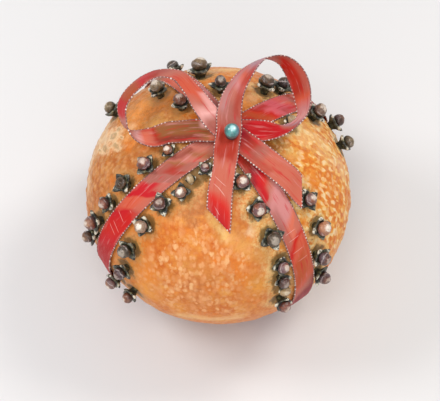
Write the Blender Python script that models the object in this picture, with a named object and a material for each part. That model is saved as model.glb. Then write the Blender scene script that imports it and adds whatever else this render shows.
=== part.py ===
"""Clove pomander orange, after the festive keepsake.

A fresh orange wears two crossed ribbons, with rows of cloves pushed in beside them. A ribbon bow and a
pearl-headed pin sit where the ribbons cross on top. The pomander stands on the lowest cloves.

Frame: metres, +Z up, -Y is the front, and the origin is on the floor under the middle of the orange.
"""

import math
import random

import bmesh
import bpy
from mathutils import Matrix, Vector

MM = 0.001

# Orange: a fruit 80 mm across and a little flattened.
ORANGE_RADIUS = 40.0
ORANGE_HALF_HEIGHT = 36.0
FLOOR_GAP = 2.8  # from the floor up to the lowest peel, which the cloves hold clear
MIDDLE = Vector((0.0, 0.0, FLOOR_GAP + ORANGE_HALF_HEIGHT))

# Ribbon: all of it is cut from one roll.
RIBBON_WIDTH = 7.4
RIBBON_THICKNESS = 0.4
TOUCH = 0.3  # gap that touching pieces keep
LAYER = RIBBON_THICKNESS + TOUCH

# The crossing on top leans to the right, and its four arms run down from it. An arm's azimuth is
# measured round the crossing from the front, plus towards the right.
KNOT_LEAN = math.radians(4.2)
FRONT_LEFT = math.radians(-58.0)
FRONT_RIGHT = math.radians(39.0)
BACK_RIGHT = math.radians(130.0)
BACK_LEFT = math.radians(210.0)

KNOT_UP = Vector((math.sin(KNOT_LEAN), 0.0, math.cos(KNOT_LEAN)))
KNOT_RIGHT = Vector((math.cos(KNOT_LEAN), 0.0, -math.sin(KNOT_LEAN)))
KNOT_BACK = Vector((0.0, 1.0, 0.0))

BAND_STEPS = 72
BEND_SOFTNESS = 0.02  # how gently a band bends as it passes the crossings
CROSSING_RAISED = 5.5  # reach either side of the crossing over which the upper ribbon is lifted
CROSSING_SLOPE = 7.0  # length over which it comes down again

# Clove: a nail-shaped bud, measured up from the peel, for a clove of size 1.
STEM_DEPTH = 7.5
STEM_TIP_RADIUS = 0.9
STEM_RADIUS = 1.4
CALYX_NOTCH = (1.4, 2.1)  # height and radius between the teeth
CALYX_TOOTH = (2.2, 3.3)  # height and radius of a tooth's tip
BALL_WAIST = (3.3, 2.2)
BALL_SHOULDER = (4.7, 1.5)
BALL_TOP = 5.35
CLOVE_SIDES = 8
STEM_CLEARANCE = 0.3
SOCKET_RISE = 2.0  # of the cutter above the peel
CLOVE_TILT = math.radians(6.0)
BUD_LEAN = 0.45
CLOVE_SEED = 7

# Rows of cloves. Each clove is given as degrees down its arm from the crossing, millimetres aside from
# the ribbon's middle (plus is anticlockwise seen from above) and size.
CLOVE_ROWS = (
    ("front_left_outer", FRONT_LEFT, (
        (24.4, -5.2, 0.7), (35.5, -5.9, 1.0), (49, -6.6, 1.0), (62, -6.2, 0.92), (75.5, -6.4, 1.0),
        (86.5, -6.0, 0.88),
    )),
    ("front_left_inner", FRONT_LEFT, (
        (16.4, 5.7, 0.72), (23.6, 5.8, 0.6), (30, 7.3, 0.82), (39.8, 6.4, 1.0), (52.5, 6.9, 0.96),
        (67.5, 8.0, 1.0), (82.3, 9.4, 0.92), (98.5, 6.8, 0.92), (99, 13.1, 0.86),
    )),
    ("front_right_inner", FRONT_RIGHT, (
        (20, -6.0, 0.95), (33, -6.4, 1.04), (47, -6.8, 1.08), (61.8, -6.8, 0.92), (70.3, -7.8, 0.8),
        (77.2, -7.7, 0.7), (87, -8.2, 0.92),
    )),
    ("front_right_outer", FRONT_RIGHT, (
        (42.3, 8.8, 1.0), (57, 8.6, 1.06), (71.2, 5.9, 1.0), (84, 5.5, 0.94),
    )),
    ("back_right_near", BACK_RIGHT, (
        (27.8, -6.3, 0.74), (48.2, -5.9, 1.0), (69.5, -7.4, 1.0), (67, -14.8, 0.92),
    )),
    ("back_right_far", BACK_RIGHT, (
        (32.5, 7.6, 1.0), (41, 5.9, 0.96),
    )),
    ("back_left_near", BACK_LEFT, (
        (24.5, 6.0, 0.92), (41, 7.6, 0.96), (63.5, 18.5, 0.94),
    )),
    ("back_left_far", BACK_LEFT, (
        (24.2, -7.2, 0.96), (41, -6.4, 1.14), (75, -6.2, 0.95), (105, -6.0, 0.95),
    )),
)

# Feet: the two cloves of each arm nearest the crossing underneath. The pomander stands on them.
FOOT_SPREAD = 20.0  # degrees from straight down
FOOT_ASIDE = 6.4

# Bow, as one length of ribbon: front tail, right loop, left loop, right tail. Each station has the middle
# of the ribbon (right, back and up from the peel at the crossing) and the direction across to its front
# edge. At the crossing the ribbon lies flat, in three layers.
UPPER_LIFT = LAYER + 0.05  # of the ribbon that crosses over the other
LOW_LAYER = TOUCH + RIBBON_THICKNESS / 2.0 + UPPER_LIFT + LAYER
MID_LAYER = LOW_LAYER + LAYER
TOP_LAYER = MID_LAYER + LAYER
BOW = (
    ((-2.3, -22.0, -4.4), (1.0, -0.2, 0.0)),
    ((-2.1, -17.2, -1.6), (0.95, -0.1, 0.25)),
    ((-1.2, -11.3, 1.6), (0.88, -0.1, 0.42)),
    ((-0.7, -5.6, TOP_LAYER - 0.15), (0.98, -0.2, 0.02)),
    ((0.0, 0.0, TOP_LAYER), (1.0, -0.1, 0.0)),
    ((0.0, 5.4, 4.4), (0.9, -0.2, 0.2)),
    ((1.3, 10.4, 7.2), (0.72, -0.42, 0.5)),
    ((4.7, 15.8, 9.4), (0.46, -0.56, 0.69)),
    ((9.8, 20.2, 10.4), (0.05, -0.5, 0.86)),
    ((15.2, 20.5, 9.4), (0.25, -0.2, 0.95)),
    ((19.3, 16.8, 7.2), (0.65, -0.1, 0.74)),
    ((21.4, 11.4, 4.6), (0.6, -0.25, 0.75)),
    ((21.2, 5.8, 2.7), (0.28, -0.46, 0.84)),
    ((16.4, 1.8, 1.9), (0.12, -0.74, 0.62)),
    ((10.6, 1.0, 1.8), (0.05, -0.98, 0.12)),
    ((5.4, 0.8, LOW_LAYER), (0.0, -1.0, 0.0)),
    ((0.0, 0.4, LOW_LAYER), (0.0, -1.0, 0.0)),
    ((-5.4, 0.2, LOW_LAYER - 0.1), (0.03, -1.0, 0.0)),
    ((-9.6, 0.8, 0.8), (0.05, -1.0, 0.0)),
    ((-13.4, 1.2, -0.9), (0.03, -1.0, 0.0)),
    ((-17.3, 1.3, -2.0), (0.0, -1.0, 0.0)),
    ((-21.8, 0.1, -2.8), (0.0, -0.98, 0.15)),
    ((-26.2, 0.7, -2.7), (0.0, -0.82, 0.5)),
    ((-29.6, 3.6, -2.0), (0.15, -0.5, 0.85)),
    ((-30.8, 9.2, -0.6), (0.35, -0.5, 0.8)),
    ((-27.6, 14.2, 1.2), (0.3, -0.65, 0.7)),
    ((-21.6, 17.8, 3.2), (0.1, -0.72, 0.68)),
    ((-15.2, 16.8, 4.8), (-0.3, -0.75, 0.55)),
    ((-11.0, 11.8, 5.4), (-0.55, -0.67, 0.45)),
    ((-7.4, 6.6, 4.4), (-0.68, -0.66, 0.25)),
    ((-3.6, 2.6, MID_LAYER + 0.1), (-0.6, -0.8, 0.03)),
    ((0.6, -0.8, MID_LAYER), (-0.62, -0.78, 0.0)),
    ((5.8, -4.7, 2.3), (-0.62, -0.72, -0.1)),
    ((11.4, -8.1, 0.2), (-0.62, -0.75, -0.2)),
    ((16.9, -11.3, -2.3), (-0.6, -0.77, -0.2)),
    ((19.4, -13.0, -4.0), (-0.58, -0.8, -0.12)),
)
BOW_STEPS = 4  # pieces of ribbon between stations
FRONT_TAIL_SLANT = 6.6  # how far a tail's front edge runs past its back edge
RIGHT_TAIL_SLANT = 6.6

# Pearl-headed pin through the bow, the crossing and the peel.
PIN_RIGHT = 0.6
PIN_BACK = -2.0
PEARL_RADIUS = 2.25
PIN_RADIUS = 0.35
PIN_LENGTH = 22.0  # below the pearl
PIN_POINT = 3.0
PEARL_STEPS = 9  # from the shaft up to the pearl's top
PIN_HOLE_RADIUS = PIN_RADIUS + TOUCH
PIN_HOLE_RISE = 1.0  # of the cutter past the bow's top layer and the pin's point
PIN_HOLE_SIDES = 8
PEARL_SIDES = 12
SEAM_WELD = 0.001  # joins the ends of a turned shape

# Finish: colour, roughness and metallic value.
FINISHES = {
    "peel": ((0.83, 0.30, 0.05), 0.45, 0.0),
    "ribbon": ((0.62, 0.04, 0.04), 0.35, 0.0),
    "clove": ((0.10, 0.05, 0.03), 0.5, 0.0),
    "pearl": ((0.05, 0.42, 0.38), 0.2, 0.0),
}


def clear_scene():
    for item in list(bpy.data.objects):
        bpy.data.objects.remove(item, do_unlink=True)


def finish_material(node, finish):
    colour, roughness, metallic = FINISHES[finish]
    material = bpy.data.materials.new(f"{node}_{finish}")
    material.use_nodes = True
    shader = material.node_tree.nodes["Principled BSDF"]
    shader.inputs["Base Color"].default_value = (*colour, 1.0)
    shader.inputs["Roughness"].default_value = roughness
    shader.inputs["Metallic"].default_value = metallic
    return material


def add_object(name, shape, finish=None):
    """Links a bmesh, drawn in millimetres, as an object. Without a finish it is a cutter."""
    bmesh.ops.scale(shape, vec=(MM, MM, MM), verts=shape.verts)
    mesh = bpy.data.meshes.new(name)
    shape.to_mesh(mesh)
    shape.free()
    item = bpy.data.objects.new(name, mesh)
    bpy.context.scene.collection.objects.link(item)
    if finish is None:
        item.hide_render = True
        item.display_type = "WIRE"
    else:
        mesh.materials.append(finish_material(name, finish))
        mesh.shade_smooth()
        mesh.set_sharp_from_angle(angle=math.radians(40.0))
    return item


def cut(item, cutter):
    hole = item.modifiers.new(f"cut_{cutter.name}", "BOOLEAN")
    hole.operation = "DIFFERENCE"
    hole.solver = "EXACT"
    hole.object = cutter


def thicken(item):
    wall = item.modifiers.new("ribbon_thickness", "SOLIDIFY")
    wall.thickness = RIBBON_THICKNESS * MM
    wall.offset = 0.0
    wall.use_even_offset = True


# ---- the orange's surface ----


def on_peel(direction, height=0.0):
    """Point over the peel, and the peel's outward normal, for a direction on the unit ball."""
    point = Vector((direction.x * ORANGE_RADIUS, direction.y * ORANGE_RADIUS, direction.z * ORANGE_HALF_HEIGHT))
    normal = Vector((
        direction.x / ORANGE_RADIUS, direction.y / ORANGE_RADIUS, direction.z / ORANGE_HALF_HEIGHT,
    )).normalized()
    return MIDDLE + point + normal * height, normal


def arm_axes(azimuth):
    """The way an arm leaves the crossing, and the way aside from it."""
    outward = KNOT_RIGHT * math.sin(azimuth) - KNOT_BACK * math.cos(azimuth)
    return outward, KNOT_UP.cross(outward)


def beside_arm(azimuth, down_degrees, aside):
    """Direction of a spot beside an arm."""
    outward, sideways = arm_axes(azimuth)
    down = math.radians(down_degrees)
    off = aside / ORANGE_RADIUS
    along = KNOT_UP * math.cos(down) + outward * math.sin(down)
    return (along * math.cos(off) + sideways * math.sin(off)).normalized()


def from_knot(right, back, up):
    """World point of a place given from the peel at the crossing."""
    return on_peel(KNOT_UP)[0] + KNOT_RIGHT * right + KNOT_BACK * back + KNOT_UP * up


# ---- pieces ----


def orange_body():
    shape = bmesh.new()
    bmesh.ops.create_icosphere(shape, subdivisions=4, radius=1.0)
    bmesh.ops.scale(shape, vec=(ORANGE_RADIUS, ORANGE_RADIUS, ORANGE_HALF_HEIGHT), verts=shape.verts)
    bmesh.ops.translate(shape, vec=MIDDLE, verts=shape.verts)
    return add_object("orange", shape, "peel")


def ring_of(shape, height, radii, place, turn=0.0):
    """Ring of vertices about an axis. The radii repeat round it."""
    ring = []
    for side in range(CLOVE_SIDES):
        angle = turn + math.tau * side / CLOVE_SIDES
        radius = radii[side % len(radii)]
        up = height[side % len(height)]
        ring.append(shape.verts.new(place @ Vector((radius * math.cos(angle), radius * math.sin(angle), up))))
    return ring


def skin_between(shape, low, high):
    for side in range(len(low)):
        after = (side + 1) % len(low)
        shape.faces.new((low[side], low[after], high[after], high[side]))


def clove_shape(place, lean):
    """A clove standing on the peel at a placement matrix. Its round bud leans aside."""
    shape = bmesh.new()
    stem_tip = ring_of(shape, (-STEM_DEPTH,), (STEM_TIP_RADIUS,), place)
    stem_top = ring_of(shape, (0.0,), (STEM_RADIUS,), place)
    calyx = ring_of(
        shape, (CALYX_TOOTH[0], CALYX_NOTCH[0]), (CALYX_TOOTH[1], CALYX_NOTCH[1]), place,
    )
    leaning = place @ Matrix.Translation(lean)
    waist = ring_of(shape, (BALL_WAIST[0],), (BALL_WAIST[1],), leaning)
    shoulder = ring_of(shape, (BALL_SHOULDER[0],), (BALL_SHOULDER[1],), leaning)
    crown = shape.verts.new(leaning @ Vector((0.0, 0.0, BALL_TOP)))
    shape.faces.new(list(reversed(stem_tip)))
    for low, high in ((stem_tip, stem_top), (stem_top, calyx), (calyx, waist), (waist, shoulder)):
        skin_between(shape, low, high)
    for side in range(CLOVE_SIDES):
        shape.faces.new((shoulder[side], shoulder[(side + 1) % CLOVE_SIDES], crown))
    return shape


def stem_socket(shape, place):
    """Adds the hole for a clove's stem to the cutter."""
    clear = STEM_CLEARANCE
    bottom = ring_of(shape, (-STEM_DEPTH - clear,), (STEM_TIP_RADIUS + clear,), place)
    mouth = ring_of(shape, (0.0,), (STEM_RADIUS + clear,), place)
    above = ring_of(shape, (SOCKET_RISE,), (STEM_RADIUS + clear,), place)
    skin_between(shape, bottom, mouth)
    skin_between(shape, mouth, above)
    shape.faces.new(list(reversed(bottom)))
    shape.faces.new(above)


def clove_placement(direction, size, chance, sink=0.0):
    """Placement of a clove that is a little tilted and turned. Sink pushes it in along its axis."""
    point, normal = on_peel(direction)
    upright = normal.to_track_quat("Z", "Y").to_matrix().to_4x4()
    tilt = Matrix.Rotation(chance.uniform(0.0, CLOVE_TILT), 4, "X")
    heading = Matrix.Rotation(chance.uniform(0.0, math.tau), 4, "Z")
    turn = Matrix.Rotation(chance.uniform(0.0, math.tau), 4, "Z")
    pushed = Matrix.Translation((0.0, 0.0, -sink))
    return Matrix.Translation(point) @ upright @ heading @ tilt @ turn @ pushed @ Matrix.Scale(size, 4)


def bud_lean(chance):
    angle = chance.uniform(0.0, math.tau)
    reach = chance.uniform(0.0, BUD_LEAN)
    return Vector((reach * math.cos(angle), reach * math.sin(angle), 0.0))


def lowest(shape):
    return min(vert.co.z for vert in shape.verts)


def add_cloves():
    """Adds every clove and returns the cutter that holds their sockets."""
    sockets = bmesh.new()
    chance = random.Random(CLOVE_SEED)
    for row, azimuth, spots in CLOVE_ROWS:
        for number, (down, aside, size) in enumerate(spots, start=1):
            place = clove_placement(beside_arm(azimuth, down, aside), size, chance)
            add_object(f"clove_{row}_{number}", clove_shape(place, bud_lean(chance)), "clove")
            stem_socket(sockets, place)
    arms = (("front_left", FRONT_LEFT), ("front_right", FRONT_RIGHT), ("back_right", BACK_RIGHT),
            ("back_left", BACK_LEFT))
    for arm, azimuth in arms:
        down = 180.0 - FOOT_SPREAD - math.degrees(KNOT_LEAN) * math.sin(azimuth)
        for side, aside in (("near", -FOOT_ASIDE), ("far", FOOT_ASIDE)):
            place, shape = foot_clove(beside_arm(azimuth, down, aside), chance)
            add_object(f"clove_foot_{arm}_{side}", shape, "clove")
            stem_socket(sockets, place)
    return add_object("stem_sockets", sockets)


def foot_clove(direction, chance):
    """A clove pressed in just far enough for its lowest point to meet the floor."""
    state = chance.getstate()
    lean = Vector((0.0, 0.0, 0.0))
    place = clove_placement(direction, 1.0, chance)
    shape = clove_shape(place, lean)
    axis = place.to_3x3() @ Vector((0.0, 0.0, 1.0))
    sink = lowest(shape) / axis.z
    shape.free()
    chance.setstate(state)
    place = clove_placement(direction, 1.0, chance, sink)
    return place, clove_shape(place, lean)


def smooth_step(value):
    value = min(max(value, 0.0), 1.0)
    return value * value * (3.0 - 2.0 * value)


def band_strip(name, first, second, lift):
    """Ribbon round the orange, down one arm and up another, bending a little at the crossings."""
    bend = (second - first - math.pi) / 2.0
    outward, sideways = arm_axes(first + bend)
    shape = bmesh.new()
    edges = []
    for step in range(BAND_STEPS):
        turn = math.tau * step / BAND_STEPS
        away = math.sin(turn)
        swing = -bend * away * away / math.sqrt(away * away + BEND_SOFTNESS)
        along = KNOT_UP * math.cos(turn) + outward * away
        direction = (along * math.cos(swing) + sideways * math.sin(swing)).normalized()
        reach = ORANGE_RADIUS * abs(away)
        raised = lift * (1.0 - smooth_step((reach - CROSSING_RAISED) / CROSSING_SLOPE))
        point, normal = on_peel(direction, TOUCH + RIBBON_THICKNESS / 2.0 + raised)
        forward = outward * math.cos(turn) - KNOT_UP * away
        across = normal.cross(forward).normalized() * (RIBBON_WIDTH / 2.0)
        edges.append((shape.verts.new(point + across), shape.verts.new(point - across)))
    for step in range(BAND_STEPS):
        left, right = edges[step]
        next_left, next_right = edges[(step + 1) % BAND_STEPS]
        shape.faces.new((left, right, next_right, next_left))
    strip = add_object(name, shape, "ribbon")
    thicken(strip)
    return strip


def spline_point(before, start, end, after, share):
    """Point on the smooth curve between two stations."""
    square = share * share
    cube = square * share
    return (
        start * 2.0
        + (end - before) * share
        + (before * 2.0 - start * 5.0 + end * 4.0 - after) * square
        + (start * 3.0 - before - end * 3.0 + after) * cube
    ) * 0.5


def smooth_through(points, steps):
    """Smooth curve through all the points, with a number of steps between two of them."""
    padded = [points[0] * 2.0 - points[1], *points, points[-1] * 2.0 - points[-2]]
    curve = []
    for index in range(1, len(padded) - 2):
        for step in range(steps):
            curve.append(spline_point(*padded[index - 1:index + 3], step / steps))
    curve.append(points[-1].copy())
    return curve


def knot_direction(right, back, up):
    return KNOT_RIGHT * right + KNOT_BACK * back + KNOT_UP * up


def bow_strip():
    middles = smooth_through([from_knot(*middle) for middle, _ in BOW], BOW_STEPS)
    leans = smooth_through([knot_direction(*across).normalized() for _, across in BOW], BOW_STEPS)
    shape = bmesh.new()
    last = len(middles) - 1
    slants = {0: -FRONT_TAIL_SLANT, last: RIGHT_TAIL_SLANT}
    edges = []
    for step, (middle, lean) in enumerate(zip(middles, leans)):
        forward = (middles[min(step + 1, last)] - middles[max(step - 1, 0)]).normalized()
        across = (lean - forward * lean.dot(forward)).normalized() * (RIBBON_WIDTH / 2.0)
        slant = forward * slants.get(step, 0.0)
        edges.append((shape.verts.new(middle + across + slant), shape.verts.new(middle - across)))
    for (front, back), (next_front, next_back) in zip(edges, edges[1:]):
        shape.faces.new((front, back, next_back, next_front))
    strip = add_object("bow", shape, "ribbon")
    thicken(strip)
    return strip


def pin_placement(up):
    return Matrix.Translation(from_knot(PIN_RIGHT, PIN_BACK, up)) @ (
        KNOT_UP.to_track_quat("Z", "Y").to_matrix().to_4x4()
    )


def pearl_pin():
    """Pin turned in one piece: a shaft with a point, and a round pearl head."""
    pearl_middle = TOP_LAYER + RIBBON_THICKNESS / 2.0 + TOUCH + PEARL_RADIUS
    neck = math.asin(PIN_RADIUS / PEARL_RADIUS)
    tip = -PEARL_RADIUS - PIN_LENGTH
    profile = [(0.0, tip), (PIN_RADIUS, tip + PIN_POINT)]
    for step in range(PEARL_STEPS + 1):
        angle = -math.pi / 2.0 + neck + (math.pi - neck) * step / PEARL_STEPS
        profile.append((PEARL_RADIUS * math.cos(angle), PEARL_RADIUS * math.sin(angle)))
    profile[-1] = (0.0, PEARL_RADIUS)
    shape = bmesh.new()
    verts = [shape.verts.new((radius, 0.0, up)) for radius, up in profile]
    line = [shape.edges.new(pair) for pair in zip(verts, verts[1:])]
    bmesh.ops.spin(
        shape, geom=verts + line, axis=(0, 0, 1), cent=(0, 0, 0), angle=math.tau, steps=PEARL_SIDES,
    )
    bmesh.ops.remove_doubles(shape, verts=shape.verts, dist=SEAM_WELD)
    bmesh.ops.recalc_face_normals(shape, faces=shape.faces)
    bmesh.ops.transform(shape, matrix=pin_placement(pearl_middle), verts=shape.verts)
    return add_object("pearl_pin", shape, "pearl")


def pin_hole():
    depth = PIN_LENGTH + 2.0 * PIN_HOLE_RISE
    shape = bmesh.new()
    bmesh.ops.create_cone(
        shape, cap_ends=True, segments=PIN_HOLE_SIDES, radius1=PIN_HOLE_RADIUS, radius2=PIN_HOLE_RADIUS, depth=depth,
    )
    bmesh.ops.transform(shape, matrix=pin_placement(TOP_LAYER + PIN_HOLE_RISE - depth / 2.0), verts=shape.verts)
    return add_object("pin_hole", shape)


def main():
    clear_scene()
    orange = orange_body()
    cut(orange, add_cloves())
    lower_band = band_strip("ribbon_under", FRONT_LEFT, BACK_RIGHT, 0.0)
    upper_band = band_strip("ribbon_over", FRONT_RIGHT, BACK_LEFT, UPPER_LIFT)
    bow = bow_strip()
    pearl_pin()
    hole = pin_hole()
    for pinned in (orange, lower_band, upper_band, bow):
        cut(pinned, hole)


main()
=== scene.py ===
"""Finish of the clove pomander orange: peel, cloves, satin ribbons with picot edging, and the pearl pin.

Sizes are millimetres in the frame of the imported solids: +Z up, -Y the front, origin on the floor under the
orange. Meshes are drawn in millimetres and end in metres.
"""

import math
import random
from typing import NamedTuple

import bmesh
import bpy
from mathutils import Matrix, Vector, noise

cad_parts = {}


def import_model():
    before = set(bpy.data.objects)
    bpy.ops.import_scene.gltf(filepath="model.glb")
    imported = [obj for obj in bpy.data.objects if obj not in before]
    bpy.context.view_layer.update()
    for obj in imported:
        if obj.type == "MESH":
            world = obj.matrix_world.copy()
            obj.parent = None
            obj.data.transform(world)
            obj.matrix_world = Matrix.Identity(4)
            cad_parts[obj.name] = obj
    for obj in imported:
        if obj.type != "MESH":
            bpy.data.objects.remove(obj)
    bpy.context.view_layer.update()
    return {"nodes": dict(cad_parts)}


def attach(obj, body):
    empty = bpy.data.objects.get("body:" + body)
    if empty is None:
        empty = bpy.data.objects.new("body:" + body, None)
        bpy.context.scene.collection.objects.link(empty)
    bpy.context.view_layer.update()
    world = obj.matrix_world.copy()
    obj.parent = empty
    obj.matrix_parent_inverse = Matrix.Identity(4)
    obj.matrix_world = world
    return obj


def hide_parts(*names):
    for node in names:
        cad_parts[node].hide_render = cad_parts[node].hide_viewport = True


MM = 0.001
BODY = "root"

# Ribbon: cloth 7 mm wide, and picots that stand a little past both edges.
CLOTH_WIDTH = 7.0
CLOTH_THICKNESS = 0.16
CLOTH_CROWN = 0.16  # how far the middle of the cloth rises over its edges
CLOTH_STRIPS = 12  # faces across the cloth
CLOTH_GAP = 0.38  # from the peel to the cloth's edges
CLOTH_RIPPLE = 0.1
RIPPLE_ALONG = 0.16  # how closely the ripples follow each other
RIPPLE_ACROSS = 0.9
CROSSING_LIFT = 0.72  # of the upper ribbon over the lower one
CROSSING_RAISED = 5.5
CROSSING_SLOPE = 7.0
BEND_SOFTNESS = 0.02
BAND_STEPS = 420
EDGE_OFF = 0.1  # from the cloth's edge to the thread of the picots

# The crossing leans to the right. An arm's azimuth is measured round it from the front.
KNOT_LEAN = math.radians(4.2)
KNOT_UP = Vector((math.sin(KNOT_LEAN), 0.0, math.cos(KNOT_LEAN)))
KNOT_RIGHT = Vector((math.cos(KNOT_LEAN), 0.0, -math.sin(KNOT_LEAN)))
KNOT_BACK = Vector((0.0, 1.0, 0.0))
PIN_PLACE = (0.6, -2.0)  # of the pearl pin, right and back of the crossing
ARMS = {
    "front_left": math.radians(-58.0),
    "front_right": math.radians(39.0),
    "back_right": math.radians(130.0),
    "back_left": math.radians(210.0),
}

# Heights over the peel at the crossing of the three layers of the bow.
LOW_LAYER = 1.95
MID_LAYER = 2.65
TOP_LAYER = 3.35
# Bow stations from the front tail to the right tail: the middle of the ribbon (right, back, up from the
# peel at the crossing) and the direction across to its front edge.
BOW = (
    ((-2.3, -22.0, -4.4), (1.0, -0.2, 0.0)),
    ((-2.1, -17.2, -1.6), (0.95, -0.1, 0.25)),
    ((-1.2, -11.3, 1.6), (0.88, -0.1, 0.42)),
    ((-0.7, -5.6, TOP_LAYER - 0.15), (0.98, -0.2, 0.02)),
    ((0.0, 0.0, TOP_LAYER), (1.0, -0.1, 0.0)),
    ((0.0, 5.4, 4.4), (0.9, -0.2, 0.2)),
    ((1.3, 10.4, 7.2), (0.72, -0.42, 0.5)),
    ((4.7, 15.8, 9.4), (0.46, -0.56, 0.69)),
    ((9.8, 20.2, 10.4), (0.05, -0.5, 0.86)),
    ((15.2, 20.5, 9.4), (0.25, -0.2, 0.95)),
    ((19.3, 16.8, 7.2), (0.65, -0.1, 0.74)),
    ((21.4, 11.4, 4.6), (0.6, -0.25, 0.75)),
    ((21.2, 5.8, 2.7), (0.28, -0.46, 0.84)),
    ((16.4, 1.8, 1.9), (0.12, -0.74, 0.62)),
    ((10.6, 1.0, 1.8), (0.05, -0.98, 0.12)),
    ((5.4, 0.8, LOW_LAYER), (0.0, -1.0, 0.0)),
    ((0.0, 0.4, LOW_LAYER), (0.0, -1.0, 0.0)),
    ((-5.4, 0.2, LOW_LAYER - 0.1), (0.03, -1.0, 0.0)),
    ((-9.6, 0.8, 0.8), (0.05, -1.0, 0.0)),
    ((-13.4, 1.2, -0.9), (0.03, -1.0, 0.0)),
    ((-17.3, 1.3, -2.0), (0.0, -1.0, 0.0)),
    ((-21.8, 0.1, -2.8), (0.0, -0.98, 0.15)),
    ((-26.2, 0.7, -2.7), (0.0, -0.82, 0.5)),
    ((-29.6, 3.6, -2.0), (0.15, -0.5, 0.85)),
    ((-30.8, 9.2, -0.6), (0.35, -0.5, 0.8)),
    ((-27.6, 14.2, 1.2), (0.3, -0.65, 0.7)),
    ((-21.6, 17.8, 3.2), (0.1, -0.72, 0.68)),
    ((-15.2, 16.8, 4.8), (-0.3, -0.75, 0.55)),
    ((-11.0, 11.8, 5.4), (-0.55, -0.67, 0.45)),
    ((-7.4, 6.6, 4.4), (-0.68, -0.66, 0.25)),
    ((-3.6, 2.6, MID_LAYER + 0.1), (-0.6, -0.8, 0.03)),
    ((0.6, -0.8, MID_LAYER), (-0.62, -0.78, 0.0)),
    ((5.8, -4.7, 2.3), (-0.62, -0.72, -0.1)),
    ((11.4, -8.1, 0.2), (-0.62, -0.75, -0.2)),
    ((16.9, -11.3, -2.3), (-0.6, -0.77, -0.2)),
    ((19.4, -13.0, -4.0), (-0.58, -0.8, -0.12)),
)
BOW_STEPS = 12  # from one station to the next
TAIL_SLANT = 6.6  # how far the tails' ends are cut aslant
PLEAT = 0.2  # height of the bow's pleats by the pin, which fade out further off
PLEAT_FROM = 3.0
PLEAT_SLOPE = 9.0
PLEATS_ACROSS = 8.0

# Colours of the cloth, as satin shows them where it turns to and from the light.
WINE = (0.27, 0.006, 0.014)
DEEP_RED = (0.43, 0.008, 0.010)
CRIMSON = (0.54, 0.010, 0.016)
RED = (0.59, 0.018, 0.010)
PINK = (0.70, 0.120, 0.140)
SCARLET = (0.52, 0.003, 0.003)
BRICK = (0.38, 0.032, 0.016)
UMBER_RED = (0.22, 0.032, 0.020)
RUSSET = (0.42, 0.070, 0.014)
RUST = (0.50, 0.085, 0.026)
CORAL = (0.63, 0.105, 0.052)
SALMON = (0.69, 0.165, 0.095)
TERRACOTTA = (0.54, 0.130, 0.080)
ROSE = (0.50, 0.150, 0.105)
DUSK = (0.38, 0.115, 0.085)
ASH_ROSE = (0.46, 0.215, 0.205)
MAUVE = (0.62, 0.240, 0.225)
PALE_PINK = (0.80, 0.40, 0.36)
TAN = (0.32, 0.105, 0.036)
OCHRE = (0.27, 0.095, 0.030)
SILVER = (0.42, 0.250, 0.290)


# ---- node trees ----


class Wire:
    """A value on its way through a node tree. Sums on it add the nodes that work them out."""

    def __init__(self, tree, socket):
        self.tree = tree
        self.socket = socket

    def worked(self, operation, *values):
        work = self.tree.vector if self.socket.type == "VECTOR" else self.tree.math
        return work(operation, *values)

    def __add__(self, other):
        return self.worked("ADD", self, other)

    def __sub__(self, other):
        return self.worked("SUBTRACT", self, other)

    def __rsub__(self, other):
        return self.worked("SUBTRACT", other, self)

    def __mul__(self, other):
        number = other.socket.type == "VALUE" if isinstance(other, Wire) else isinstance(other, float)
        if self.socket.type == "VECTOR" and number:
            return self.tree.scaled(self, other)
        return self.worked("MULTIPLY", self, other)

    def __truediv__(self, other):
        return self.worked("DIVIDE", self, other)

    def __abs__(self):
        return self.worked("ABSOLUTE", self)

    def dot(self, other):
        return self.tree.vector("DOT_PRODUCT", self, other)

    def distance(self, other):
        return self.tree.vector("DISTANCE", self, other)

    def fade(self, from_low, from_high, to_low=0.0, to_high=1.0, smooth=True):
        """Carries a value from one range to another, held at both ends."""
        ends = {"From Min": from_low, "From Max": from_high, "To Min": to_low, "To Max": to_high}
        kind = "SMOOTHSTEP" if smooth else "LINEAR"
        return self.tree.add("ShaderNodeMapRange", {"Value": self, **ends}, interpolation_type=kind)["Result"]

    def ramp(self, stops):
        """Colour ramp through stops of (position, colour)."""
        ramp = self.tree.add("ShaderNodeValToRGB", {"Fac": self})
        band = ramp.item.color_ramp
        band.elements.remove(band.elements[1])
        for index, (position, colour) in enumerate(stops):
            element = band.elements[0] if index == 0 else band.elements.new(position)
            element.position = position
            element.color = (*colour, 1.0)
        return ramp["Color"]


class Node:
    """A node, whose outputs are wires."""

    def __init__(self, tree, item):
        self.tree = tree
        self.item = item

    def __getitem__(self, key):
        return Wire(self.tree, self.item.outputs[key])


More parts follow.
